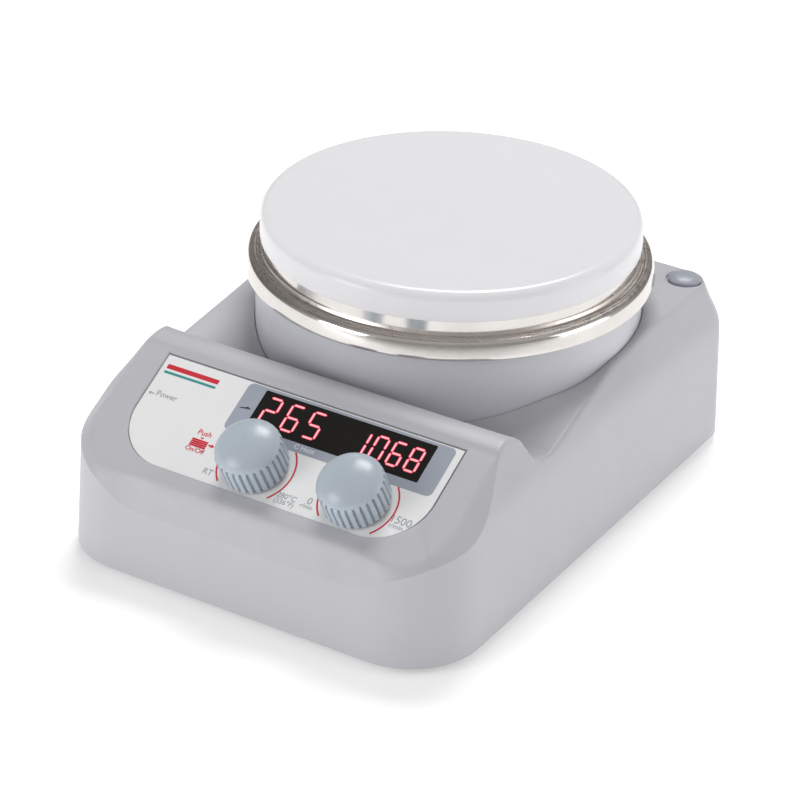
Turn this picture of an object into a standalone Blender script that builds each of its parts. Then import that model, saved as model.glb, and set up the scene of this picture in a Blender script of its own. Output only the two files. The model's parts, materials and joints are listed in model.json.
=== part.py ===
"""Digital hotplate magnetic stirrer, modelled as separate solid pieces.

Metres, +Z up.  The origin is the middle of the footprint, level with the underside of the feet.
The control panel faces -Y, the mains inlet is at the back and the power switch is on the -X wall.
"""
import math

import bmesh
import bpy
import numpy as np
from mathutils import Matrix, Vector

MM = 0.001
GAP = 0.3 * MM                    # air left between neighbouring solids

# Feet and base
FOOT_HEIGHT = 3.0 * MM            # the housing's lower edge stands this far above the table
FOOT_RADIUS = 8.5 * MM
FOOT_X, FOOT_Y_FRONT, FOOT_Y_BACK = 58.0 * MM, -68.0 * MM, 78.0 * MM
BASE_THICKNESS = 2.0 * MM
BASE_RECESS = 0.4 * MM

# Housing, heights measured from its lower edge
BODY_WIDTH = 156.6 * MM
BODY_DEPTH = 208.6 * MM
FRONT_CORNER = 27.0 * MM
BACK_CORNER = 10.0 * MM
WALL = 3.0 * MM
LEAN_HEIGHTS = (0.0, 44 * MM, 47 * MM, 50.5 * MM, 53.7 * MM, 56.8 * MM, 61.5 * MM, 70 * MM)
LEANS = (0.0, 1.54 * MM, 2.0 * MM, 3.1 * MM, 4.8 * MM, 6.1 * MM, 8.0 * MM, 11.4 * MM)
BACK_LEAN = 0.52                  # the back wall leans in by this share of the side walls' lean
DECK_HEIGHT = 61.4 * MM
RIDGE_Y, RIDGE_HEIGHT = -42.4 * MM, 62.0 * MM
TROUGH_HALF_WIDTH = 60.0 * MM     # inside this the trough has its full depth
CREASE_X = 70.0 * MM              # the console's flat face ends here and its shoulder starts
SHOULDER_SLOPE, FRONT_SLOPE, FRONT_CURVE = 1.0, 1.3, 0.12 / MM     # fall of the shoulder, per length
SHOULDER_FRONT, SHOULDER_CORNER, DECK_EDGE = 4.6 * MM, 2.0 * MM, 0.8 * MM
BOSS_RADIUS, BOSS_HOLE = 4.5 * MM, 1.8 * MM
BOSSES = ((-62.0 * MM, -86.0 * MM), (62.0 * MM, -86.0 * MM), (-54.0 * MM, 92.0 * MM), (54.0 * MM, 92.0 * MM))

# Control panel: its frame has x to the right, y up the slope and z out of the panel
PANEL_ANGLE = math.radians(29.13)
PANEL_TOP_Y, PANEL_TOP_HEIGHT = -56.85 * MM, 60.17 * MM
PANEL_HALF_WIDTH, PANEL_LENGTH, PANEL_CORNER = 59.5 * MM, 42.6 * MM, 20.0 * MM
PANEL_POCKET, PANEL_FACE, PANEL_THICKNESS = 1.5 * MM, -0.15 * MM, 1.05 * MM
SURROUND = (-25.2 * MM, 56.6 * MM, -21.1 * MM, -1.2 * MM)     # left, right, bottom, top
WINDOW = (-18.0 * MM, 49.6 * MM, -17.5 * MM, -2.2 * MM)
BOARD_FACE, BOARD_THICKNESS = -8.0 * MM, 1.6 * MM
KNOB_Y = -30.6 * MM
KNOB_X = {"temperature": -5.7 * MM, "speed": 34.3 * MM}
KNOB_RADIUS, KNOB_BASE, KNOB_SHOULDER, KNOB_TOP = 11.7 * MM, 0.9 * MM, 9.6 * MM, 16.3 * MM
KNOB_FLUTES, FLUTE_DEPTH, FLUTE_TOP = 29, 0.6 * MM, 11.3 * MM
SHAFT_RADIUS, SHAFT_BORE, BUSH_RADIUS = 3.0 * MM, 3.3 * MM, 3.9 * MM

# Hotplate stack, on a vertical axis behind the console
PLATE_Y = 30.9 * MM
PLATE_RADIUS, PLATE_TOP, PLATE_SKIRT = 67.5 * MM, 97.25 * MM, 86.8 * MM
PLATE_EDGE_RADIUS = 3.6 * MM
RIM_RADIUS, RIM_TOP, RIM_BOTTOM, RIM_SHEET = 72.5 * MM, 81.6 * MM, 74.5 * MM, 0.8 * MM
RIM_CORNER = 3.2 * MM
RIM_BAND_RADIUS, RIM_BAND_TOP = 66.9 * MM, 86.4 * MM
BOWL_RADIUS, BOWL_TOP, BOWL_FLOOR, BOWL_WALL = 68.8 * MM, 80.6 * MM, 45.0 * MM, 2.0 * MM
BOWL_CORNER, BOWL_HOLE = 5.0 * MM, 9.0 * MM
STANDOFF_CIRCLE = 46.5 * MM
MAGNET_RADIUS, MAGNET_OFFSET = 9.0 * MM, 29.0 * MM

# Back wall, left wall and deck fittings
INLET_X, INLET_FACE, SOCKET_POCKET = 22.0 * MM, 103.6 * MM, 102.3 * MM
PROBE_X, PROBE_HEIGHT, PROBE_POCKET = -30.0 * MM, 25.0 * MM, 101.8 * MM
SWITCH_Y, SWITCH_HEIGHT, SWITCH_POCKET = -66.0 * MM, 25.0 * MM, -76.0 * MM
ROCKER_PIVOT_X, ROCKER_TILT = -73.5 * MM, math.radians(-10.0)
ROD_X, ROD_Y, ROD_BORE = 62.8 * MM, 92.7 * MM, 4.3 * MM
CAP_RADIUS, CAP_DOME = 6.1 * MM, 2.1 * MM

for old in list(bpy.data.objects):
    bpy.data.objects.remove(old, do_unlink=True)


# ---------------------------------------------------------------- materials

def material(name, colour, roughness, metallic=0.0):
    mat = bpy.data.materials.new(name)
    mat.use_nodes = True
    shader = mat.node_tree.nodes["Principled BSDF"]
    shader.inputs["Base Color"].default_value = (*colour, 1.0)
    shader.inputs["Roughness"].default_value = roughness
    shader.inputs["Metallic"].default_value = metallic
    mat.diffuse_color = (*colour, 1.0)
    return mat


HOUSING_GREY = material("housing_grey", (0.50, 0.50, 0.53), 0.45)
BOWL_GREY = material("bowl_grey", (0.40, 0.41, 0.45), 0.55)
PANEL_WHITE = material("panel_white", (0.77, 0.77, 0.75), 0.5)
SURROUND_BLUE = material("surround_blue_grey", (0.31, 0.35, 0.41), 0.5)
WINDOW_BLACK = material("window_black", (0.012, 0.011, 0.010), 0.15)
LED_RED = material("led_red", (0.55, 0.03, 0.05), 0.4)
KNOB_BLUE = material("knob_blue_grey", (0.37, 0.45, 0.50), 0.35)
PLATE_WHITE = material("plate_white", (0.86, 0.86, 0.89), 0.3)
STEEL = material("polished_steel", (0.66, 0.65, 0.63), 0.15, 1.0)
ALUMINIUM = material("aluminium", (0.60, 0.61, 0.62), 0.4, 1.0)
DARK_STEEL = material("dark_steel", (0.18, 0.18, 0.19), 0.4, 1.0)
BRASS = material("brass", (0.60, 0.43, 0.16), 0.3, 1.0)
CERAMIC = material("ceramic", (0.72, 0.69, 0.62), 0.6)
BOARD_GREEN = material("board_green", (0.02, 0.16, 0.06), 0.5)
BLACK_PLASTIC = material("black_plastic", (0.03, 0.03, 0.032), 0.4)
RUBBER = material("rubber", (0.035, 0.035, 0.035), 0.8)
GLASS = material("fuse_glass", (0.75, 0.78, 0.80), 0.1)


# ---------------------------------------------------------------- shape helpers

def empty(name, matrix):
    holder = bpy.data.objects.new(name, None)
    holder.matrix_world = matrix
    bpy.context.collection.objects.link(holder)
    return holder


HOUSING_FRAME = empty("housing_frame", Matrix.Translation((0, 0, FOOT_HEIGHT)))
PANEL_FRAME = empty(
    "panel_frame",
    Matrix.Translation((0, PANEL_TOP_Y, PANEL_TOP_HEIGHT + FOOT_HEIGHT))
    @ Matrix.Rotation(PANEL_ANGLE, 4, "X"))
PLATE_FRAME = empty("plate_frame", Matrix.Translation((0, PLATE_Y, FOOT_HEIGHT)))


def place(name, bm, mat, parent=HOUSING_FRAME, location=(0, 0, 0), rotation=(0, 0, 0)):
    """Turn a bmesh into a named object; location and rotation are in its parent's frame."""
    bmesh.ops.recalc_face_normals(bm, faces=bm.faces)
    mesh = bpy.data.meshes.new(name)
    bm.to_mesh(mesh)
    bm.free()
    mesh.materials.append(mat)
    mesh.shade_smooth()
    mesh.set_sharp_from_angle(angle=math.radians(35))
    obj = bpy.data.objects.new(name, mesh)
    obj.parent = parent
    obj.location = location
    obj.rotation_euler = rotation
    bpy.context.collection.objects.link(obj)
    return obj


def box(low, high):
    bm = bmesh.new()
    low, high = Vector(low), Vector(high)
    size = high - low
    middle = Matrix.Translation((low + high) / 2)
    bmesh.ops.create_cube(bm, size=1.0, matrix=middle @ Matrix.Diagonal((*size, 1)))
    return bm


def prism(outline, low, high):
    """Extrude an (x, y) outline from z = low to z = high."""
    bm = bmesh.new()
    lower = [bm.verts.new((x, y, low)) for x, y in outline]
    upper = [bm.verts.new((x, y, high)) for x, y in outline]
    bm.faces.new(lower)
    bm.faces.new(upper)
    for i in range(len(outline)):
        j = (i + 1) % len(outline)
        bm.faces.new((lower[i], lower[j], upper[j], upper[i]))
    return bm


def lathe(profile, segments=32, axis_y=False):
    """Turn (radius, z) points about Z: a ring, or a solid where both ends have radius 0."""
    bm = bmesh.new()
    rings = []
    for radius, z in profile:
        if radius == 0:
            rings.append([bm.verts.new((0, 0, z))])
            continue
        turn = [2 * math.pi * k / segments for k in range(segments)]
        rings.append([bm.verts.new((radius * math.cos(a), radius * math.sin(a), z)) for a in turn])
    pairs = list(zip(rings, rings[1:]))
    if profile[0][0] > 0:
        pairs.append((rings[-1], rings[0]))
    for one, two in pairs:
        for k in range(segments):
            n = (k + 1) % segments
            corners = [one[k % len(one)], one[n % len(one)], two[n % len(two)], two[k % len(two)]]
            unique = list(dict.fromkeys(corners))
            if len(unique) > 2:
                bm.faces.new(unique)
    if axis_y:
        turned = Matrix.Rotation(math.radians(-90), 3, "X")
        bmesh.ops.rotate(bm, verts=bm.verts, cent=(0, 0, 0), matrix=turned)
    return bm


def cylinder(radius, low, high, segments=24, axis_y=False):
    return lathe([(0, low), (radius, low), (radius, high), (0, high)], segments, axis_y)


def arc(cx, cy, radius, start, end, steps):
    angles = [math.radians(start + (end - start) * i / steps) for i in range(steps + 1)]
    return [(cx + radius * math.cos(a), cy + radius * math.sin(a)) for a in angles]


def rounded_rectangle(left, right, bottom, top, radius, steps=4):
    return (arc(right - radius, top - radius, radius, 0, 90, steps)
            + arc(left + radius, top - radius, radius, 90, 180, steps)
            + arc(left + radius, bottom + radius, radius, 180, 270, steps)
            + arc(right - radius, bottom + radius, radius, 270, 360, steps))


def combine(target, bm, operation="DIFFERENCE", parent=None, location=(0, 0, 0), rotation=(0, 0, 0)):
    """Cut a bmesh out of an object, or join it on, through a hidden tool object and a Boolean."""
    mat = target.data.materials[0]
    tool = place(f"{target.name}_tool", bm, mat, parent or target.parent, location, rotation)
    tool.hide_render = True
    tool.display_type = "WIRE"
    boolean = target.modifiers.new(operation.title(), "BOOLEAN")
    boolean.operation = operation
    boolean.object = tool


# ---------------------------------------------------------------- housing

def offset_corners(corners, distance):
    """Move a (y, z, radius) corner line down its normal by distance."""
    lines = []
    for (y0, z0, _), (y1, z1, _) in zip(corners, corners[1:]):
        along = Vector((y1 - y0, z1 - z0)).normalized()
        shift = Vector((along.y, -along.x)) * distance
        lines.append((Vector((y0, z0)) + shift, along))
    moved = [(*lines[0][0], 0)]
    for (p, a), (q, b), corner in zip(lines, lines[1:], corners[1:-1]):
        t = (q - p).cross(b) / a.cross(b)
        turn = a.cross(b)
        radius = corner[2] + (distance if turn > 0 else -distance)
        moved.append((*(p + a * t), max(radius, 0.4 * MM)))
    last = Vector(corners[-1][:2]) + Vector((lines[-1][1].y, -lines[-1][1].x)) * distance
    moved.append((*last, 0))
    return moved


def rounded_line(corners, step=math.radians(18)):
    """Points along a (y, z, radius) corner line, each inner corner turned into an arc."""
    points = [Vector(corners[0][:2])]
    for before, corner, after in zip(corners, corners[1:], corners[2:]):
        tip = Vector(corner[:2])
        a = (tip - Vector(before[:2])).normalized()
        b = (Vector(after[:2]) - tip).normalized()
        turn = math.atan2(a.cross(b), a.dot(b))
        reach = corner[2] * math.tan(abs(turn) / 2)
        start, side = tip - a * reach, math.copysign(1, turn)
        centre = start + Vector((-a.y, a.x)) * corner[2] * side
        count = max(2, math.ceil(abs(turn) / step))
        for i in range(count + 1):
            spoke = Matrix.Rotation(turn * i / count, 2) @ (start - centre)
            points.append(centre + spoke)
    points.append(Vector(corners[-1][:2]))
    return np.array(points)


SLOPE = math.tan(PANEL_ANGLE)
FRONT_Y = -BODY_DEPTH / 2 - 2 * MM
BACK_Y = BODY_DEPTH / 2 + 2 * MM
FRONT_POINT = (FRONT_Y, PANEL_TOP_HEIGHT + (FRONT_Y - PANEL_TOP_Y) * SLOPE, 0)
CONSOLE_PEAK = (-51.0 * MM, PANEL_TOP_HEIGHT + (-51.0 * MM - PANEL_TOP_Y) * SLOPE, 12 * MM)
RIDGE = (RIDGE_Y, RIDGE_HEIGHT, 1.4 * MM)
BACK_POINT = (BACK_Y, DECK_HEIGHT, 0)

# Section along the side walls, and section inside the trough
SIDE_SECTION = [FRONT_POINT, CONSOLE_PEAK, RIDGE, (-37.5 * MM, 51.6 * MM, 5 * MM),
                (-28.0 * MM, 49.6 * MM, 10 * MM), (22.0 * MM, 59.9 * MM, 30 * MM),
                (44.0 * MM, DECK_HEIGHT, 30 * MM), BACK_POINT]
TROUGH_SECTION = [FRONT_POINT, CONSOLE_PEAK, RIDGE, (-40.2 * MM, 49.5 * MM, 4 * MM),
                  (-33.0 * MM, 47.2 * MM, 8 * MM), (-4.0 * MM, 55.4 * MM, 20 * MM),
                  (26.0 * MM, 58.0 * MM, 20 * MM), (46.0 * MM, DECK_HEIGHT, 12 * MM), BACK_POINT]

EDGE_STEPS = [0, 0.8, 2.2, 3.4, 4.6, 7.0, 10, 15, 21, 27]
WALL_STEPS = [0.91, 0.83, 0.76, 0.69]


def to_outline(x, y, width, depth, front, back):
    """Bend a point of the plain rectangle into the round-cornered outline, and its distance from the edge."""
    radius = front if y < 0 else back
    a, b = abs(x) - (width / 2 - radius), abs(y) - (depth / 2 - radius)
    if a <= 0 or b <= 0:
        return x, y, min(width / 2 - abs(x), depth / 2 - abs(y))
    reach = max(a, b)
    angle = math.pi / 4 * b / a if a >= b else math.pi / 2 - math.pi / 4 * a / b
    return (math.copysign(width / 2 - radius + reach * math.cos(angle), x),
            math.copysign(depth / 2 - radius + reach * math.sin(angle), y), radius - reach)


def smoothstep(low, high, value):
    t = min(max((value - low) / (high - low), 0), 1)
    return t * t * (3 - 2 * t)


def lean_shift(x, y, width, depth, height):
    """Sideways shift of a point of the plain rectangle at a height; it fades out away from the walls."""
    lean = float(np.interp(height, LEAN_HEIGHTS, LEANS))
    across = max(0, 1 - (width / 2 - abs(x)) / FRONT_CORNER)
    along = max(0, 1 - (depth / 2 - abs(y)) / FRONT_CORNER) * (BACK_LEAN if y > 0 else 1)
    return -math.copysign(lean * across, x), -math.copysign(lean * along, y)


def housing_solid(inset, bottom):
    """The housing's outer form, moved in by inset; its underside is closed at z = bottom."""
    width, depth = BODY_WIDTH - 2 * inset, BODY_DEPTH - 2 * inset
    front, back = FRONT_CORNER - inset, BACK_CORNER - inset
    side = rounded_line(offset_corners(SIDE_SECTION, inset))
    trough = rounded_line(offset_corners(TROUGH_SECTION, inset))

    def surface(x, y, inside):
        rim = np.interp(y, side[:, 0], side[:, 1])
        lean = np.interp(rim, LEAN_HEIGHTS, LEANS)
        edge = width / 2 - lean
        across = min(max((edge - 1 * MM - abs(x)) / (edge - 1 * MM - TROUGH_HALF_WIDTH), 0), 1)
        mix = 1 - (1 - across) ** 1.3
        z = (1 - mix) * rim + mix * np.interp(y, trough[:, 0], trough[:, 1])
        beyond = max(DECK_EDGE, (BODY_WIDTH / 2 - CREASE_X - lean) / (1 - lean / FRONT_CORNER))
        middle = 1 - smoothstep(44 * MM, 64 * MM, abs(x))
        nose = SHOULDER_CORNER + (SHOULDER_FRONT - SHOULDER_CORNER) * middle
        console = nose + (beyond - nose) * smoothstep(-98 * MM, -72 * MM, y)
        shoulder = console + (DECK_EDGE - console) * smoothstep(RIDGE_Y, RIDGE_Y + 3 * MM, y)
        out = max(0, shoulder - inside)
        bend = min(out, SHOULDER_FRONT) * middle * (1 - smoothstep(-102 * MM, -86 * MM, y))
        return z - out * SHOULDER_SLOPE - bend * (FRONT_SLOPE - SHOULDER_SLOPE + FRONT_CURVE * bend)

    half = [width / 2 - d * MM for d in EDGE_STEPS] + [25 * MM, 0]
    columns = sorted({round(v, 6) for x in half for v in (x, -x)})
    rows = {round(-depth / 2 + d * MM, 6) for d in EDGE_STEPS}
    rows |= {round(depth / 2 - d * MM, 6) for d in EDGE_STEPS[:6]}
    rows |= {round(float(y), 6) for y in side[1:-1, 0]} | {round(y * MM, 6) for y in (-15, 0, 30, 50, 60, 75)}
    rows = sorted(y for y in rows if abs(y) <= depth / 2)
    rows = [y for i, y in enumerate(rows) if i == 0 or y - rows[i - 1] > 0.25 * MM]

    bm = bmesh.new()
    grid, ring = [], {}
    for i, column in enumerate(columns):
        line = []
        for j, row in enumerate(rows):
            x, y, inside = to_outline(column, row, width, depth, front, back)
            z = surface(x, y, inside)
            for _ in range(3):
                shift = lean_shift(column, row, width, depth, z)
                z = surface(x + shift[0], y + shift[1], inside)
            line.append(bm.verts.new((x + shift[0], y + shift[1], z)))
            ring[i, j] = (x, y, z)
        grid.append(line)
    last_i, last_j = len(columns) - 1, len(rows) - 1
    for i in range(last_i):
        for j in range(last_j):
            bm.faces.new((grid[i][j], grid[i + 1][j], grid[i + 1][j + 1], grid[i][j + 1]))
    loop = ([(i, 0) for i in range(last_i)] + [(last_i, j) for j in range(last_j)]
            + [(i, last_j) for i in range(last_i, 0, -1)] + [(0, j) for j in range(last_j, 0, -1)])
    bands = [[grid[i][j] for i, j in loop]]
    for share in WALL_STEPS:
        band = []
        for i, j in loop:
            x, y, top = ring[i, j]
            shift = lean_shift(columns[i], rows[j], width, depth, top * share)
            band.append(bm.verts.new((x + shift[0], y + shift[1], top * share)))
        bands.append(band)
    bands.append([bm.verts.new((*ring[key][:2], bottom)) for key in loop])
    for upper, lower in zip(bands, bands[1:]):
        for k in range(len(loop)):
            n = (k + 1) % len(loop)
            bm.faces.new((upper[k], upper[n], lower[n], lower[k]))
    bm.faces.new(bands[-1])
    return bm


def bowl_profile(offset=0.0):
    """Outside of the plate bowl as (radius, z), from its top edge down to the floor."""
    corner = arc(BOWL_RADIUS - BOWL_CORNER, BOWL_FLOOR + BOWL_CORNER, BOWL_CORNER, 0, -90, 4)
    wall = [(BOWL_RADIUS, BOWL_TOP)] + corner
    return [(radius + offset, z - offset * 0.6) for radius, z in wall]


def panel_outline(clearance=0.0):
    """The panel's square top corners and round bottom corners, with y up the slope."""
    half, bottom = PANEL_HALF_WIDTH - clearance, -PANEL_LENGTH + clearance
    centre_x, centre_y, radius = half - PANEL_CORNER, bottom + PANEL_CORNER, PANEL_CORNER
    return ([(half, -clearance), (-half, -clearance)] + arc(-centre_x, centre_y, radius, 180, 270, 6)
            + arc(centre_x, centre_y, radius, 270, 360, 6))


def make_housing():
    housing = place("upper_housing", housing_solid(0, 0), HOUSING_GREY)
    cavity = place("housing_cavity", housing_solid(WALL, -2 * MM), HOUSING_GREY)
    cavity.hide_render = True
    cavity.display_type = "WIRE"
    for x, y in BOSSES:
        boss_foot = BASE_RECESS + BASE_THICKNESS + GAP
        combine(cavity, cylinder(BOSS_RADIUS, boss_foot, 90 * MM, 16), location=(x, y, 0))
    hollow = housing.modifiers.new("Cavity", "BOOLEAN")
    hollow.object = cavity
    for x, y in BOSSES:
        combine(housing, cylinder(BOSS_HOLE, 0, 14 * MM, 12), location=(x, y, 0))
    combine(housing, prism(panel_outline(), -PANEL_POCKET, 8 * MM), parent=PANEL_FRAME)
    left, right, bottom, top = WINDOW
    opening = rounded_rectangle(left + 0.8 * MM, right - 0.8 * MM, bottom + 0.4 * MM, top - 0.4 * MM,
                                0.5 * MM, 1)
    combine(housing, prism(opening, -6 * MM, 2 * MM), parent=PANEL_FRAME)
    for x in KNOB_X.values():
        bush = cylinder(BUSH_RADIUS + GAP, -6 * MM, 2 * MM, 20)
        combine(housing, bush, parent=PANEL_FRAME, location=(x, KNOB_Y, 0))
    rod = (ROD_X, ROD_Y, 0)
    seat = cylinder(CAP_RADIUS + 0.6 * MM, DECK_HEIGHT - 0.9 * MM, 80 * MM, 28)
    combine(housing, seat, location=rod)
    combine(housing, cylinder(ROD_BORE + 0.4 * MM, 50 * MM, 80 * MM, 24), location=rod)
    combine(housing, cylinder(5.9 * MM, 33.5 * MM, DECK_HEIGHT - WALL, 24), location=rod)
    inlet = (INLET_X, 0, 0)
    combine(housing, box((-16 * MM, SOCKET_POCKET, 6.6 * MM), (16 * MM, 110 * MM, 43.4 * MM)), location=inlet)
    combine(housing, box((-13.2 * MM, 95 * MM, 8.7 * MM), (13.2 * MM, 110 * MM, 41.3 * MM)), location=inlet)
    probe = (PROBE_X, 0, PROBE_HEIGHT)
    combine(housing, cylinder(7.6 * MM, PROBE_POCKET, 110 * MM, 24, True), location=probe)
    combine(housing, cylinder(4.4 * MM, 95 * MM, 110 * MM, 20, True), location=probe)
    switch = (0, SWITCH_Y, SWITCH_HEIGHT)
    recess = box((-85 * MM, -11 * MM, -12 * MM), (SWITCH_POCKET, 11 * MM, 12 * MM))
    combine(housing, recess, location=switch)
    combine(housing, box((-85 * MM, -9 * MM, -10 * MM), (-65 * MM, 9 * MM, 10 * MM)), location=switch)
    envelope = ([(0, 90 * MM), (BOWL_RADIUS + GAP, 90 * MM)] + bowl_profile(GAP)[1:]
                + [(0, BOWL_FLOOR - GAP * 0.6)])
    combine(housing, lathe(envelope, 52), parent=PLATE_FRAME)


# ---------------------------------------------------------------- base, feet and screws

def base_outline(clearance):
    half_x, half_y = BODY_WIDTH / 2 - WALL - clearance, BODY_DEPTH / 2 - WALL - clearance
    front, back = FRONT_CORNER - WALL - clearance, BACK_CORNER - WALL - clearance
    return (arc(half_x - back, half_y - back, back, 0, 90, 4)
            + arc(back - half_x, half_y - back, back, 90, 180, 4)
            + arc(front - half_x, front - half_y, front, 180, 270, 7)
            + arc(half_x - front, front - half_y, front, 270, 360, 7))


def make_base():
    sheet = prism(base_outline(0.5 * MM), BASE_RECESS, BASE_RECESS + BASE_THICKNESS)
    base = place("base_plate", sheet, DARK_STEEL)
    screw = [(0, -1.7 * MM), (2.2 * MM, -1.7 * MM), (3.0 * MM, -1.1 * MM), (3.0 * MM, BASE_RECESS - GAP),
             (1.4 * MM, BASE_RECESS - GAP), (1.4 * MM, 12 * MM), (0, 12 * MM)]
    for number, (x, y) in enumerate(BOSSES, 1):
        combine(base, cylinder(BOSS_HOLE, -2 * MM, 6 * MM, 12), location=(x, y, 0))
        place(f"base_screw_{number}", lathe(screw, 12), DARK_STEEL, location=(x, y, 0))
    for side in (-1, 1):
        for row in range(5):
            slot = rounded_rectangle(-12 * MM, 12 * MM, -1.6 * MM, 1.6 * MM, 1.5 * MM, 1)
            combine(base, prism(slot, -2 * MM, 6 * MM), location=(side * 48 * MM, (12 + row * 9) * MM, 0))
    foot = [(0, -FOOT_HEIGHT), (FOOT_RADIUS - 1.2 * MM, -FOOT_HEIGHT), (FOOT_RADIUS, -FOOT_HEIGHT + 0.8 * MM),
            (FOOT_RADIUS, BASE_RECESS - GAP), (0, BASE_RECESS - GAP)]
    for end, y in (("front", FOOT_Y_FRONT), ("back", FOOT_Y_BACK)):
        for side, x in (("left", -FOOT_X), ("right", FOOT_X)):
            place(f"foot_{end}_{side}", lathe(foot, 24), RUBBER, location=(x, y, 0))


# ---------------------------------------------------------------- control panel

def make_panel():
    low = PANEL_FACE - PANEL_THICKNESS
    panel = place("control_panel", prism(panel_outline(GAP), low, PANEL_FACE), PANEL_WHITE, PANEL_FRAME)
    combine(panel, prism(rounded_rectangle(*SURROUND, 2.2 * MM), low - MM, MM))
    for x in KNOB_X.values():
        combine(panel, cylinder(BUSH_RADIUS + GAP, low - MM, MM, 20), location=(x, KNOB_Y, 0))
    left, right, bottom, top = SURROUND
    frame = rounded_rectangle(left + GAP, right - GAP, bottom + GAP, top - GAP, 2.0 * MM)
    surround = place("display_surround", prism(frame, low, PANEL_FACE), SURROUND_BLUE, PANEL_FRAME)
    combine(surround, prism(rounded_rectangle(*WINDOW, 0.4 * MM, 1), low - MM, MM))
    left, right, bottom, top = WINDOW
    pane = rounded_rectangle(left + GAP, right - GAP, bottom + GAP, top - GAP, 0.3 * MM, 1)
    place("display_window", prism(pane, low, PANEL_FACE), WINDOW_BLACK, PANEL_FRAME)
    for name, left, right in (("temperature", -16.8 * MM, 15.4 * MM), ("speed", 16.2 * MM, 48.4 * MM)):
        module = box((left, -16.7 * MM, BOARD_FACE + GAP), (right, -3.0 * MM, low - GAP))
        place(f"{name}_display", module, LED_RED, PANEL_FRAME)
    board = box((-54 * MM, -41 * MM, BOARD_FACE - BOARD_THICKNESS), (54 * MM, -3 * MM, BOARD_FACE))
    place("control_board", board, BOARD_GREEN, PANEL_FRAME)


def knob_solid():
    """A domed knob with a fluted side, hollow below, with a bored boss for its shaft."""
    bm = bmesh.new()
    count = 2 * KNOB_FLUTES

    def ring(radius, z, depth=0.0):
        points = []
        for k in range(count):
            r, a = radius - (depth if k % 2 else 0), 2 * math.pi * k / count
            points.append(bm.verts.new((r * math.cos(a), r * math.sin(a), z)))
        return points

    def dome_ring(z, depth=0.0):
        rise = (z - KNOB_SHOULDER) / (KNOB_TOP - KNOB_SHOULDER)
        return ring(KNOB_RADIUS * math.sqrt(1 - rise * rise), z, depth)

    rings = [ring(KNOB_RADIUS, KNOB_BASE, FLUTE_DEPTH), ring(KNOB_RADIUS, KNOB_SHOULDER, FLUTE_DEPTH)]
    rings += [dome_ring(FLUTE_TOP, FLUTE_DEPTH), dome_ring(FLUTE_TOP + 0.4 * MM)]
    rings += [dome_ring(z) for z in (13.6 * MM, 15.0 * MM, 16.0 * MM)]
    top = bm.verts.new((0, 0, KNOB_TOP))
    inner = [ring(10.2 * MM, KNOB_BASE), ring(10.2 * MM, 10 * MM), ring(5.2 * MM, 10 * MM),
             ring(5.2 * MM, 1.3 * MM), ring(SHAFT_BORE, 1.3 * MM), ring(SHAFT_BORE, 11 * MM)]
    roof = bm.verts.new((0, 0, 11 * MM))
    chain = list(reversed(rings)) + inner
    for one, two in zip(chain, chain[1:]):
        for k in range(count):
            n = (k + 1) % count
            bm.faces.new((one[k], one[n], two[n], two[k]))
    for k in range(count):
        n = (k + 1) % count
        bm.faces.new((top, chain[0][n], chain[0][k]))
        bm.faces.new((roof, chain[-1][k], chain[-1][n]))
    return bm


def make_knobs():
    for name, x in KNOB_X.items():
        axis = empty(f"{name}_axis", Matrix.Identity(4))
        axis.parent = PANEL_FRAME
        axis.location = (x, KNOB_Y, 0)
        body = box((-6.5 * MM, -6.5 * MM, BOARD_FACE + GAP), (6.5 * MM, 6.5 * MM, -WALL - GAP))
        encoder = place(f"{name}_encoder", body, BLACK_PLASTIC, axis)
        combine(encoder, cylinder(BUSH_RADIUS, -5 * MM, 0.3 * MM, 20), "UNION")
        combine(encoder, cylinder(SHAFT_BORE, -12 * MM, 4 * MM, 20))
        place(f"{name}_shaft", cylinder(SHAFT_RADIUS, -6.2 * MM, 10.5 * MM, 20), ALUMINIUM, axis)
        place(f"{name}_knob", knob_solid(), KNOB_BLUE, axis)
    plunger = cylinder(2.2 * MM, -7.1 * MM, -6.5 * MM, 16)
    place("temperature_plunger", plunger, BLACK_PLASTIC, bpy.data.objects["temperature_axis"])


# ---------------------------------------------------------------- hotplate and stirring drive

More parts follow.
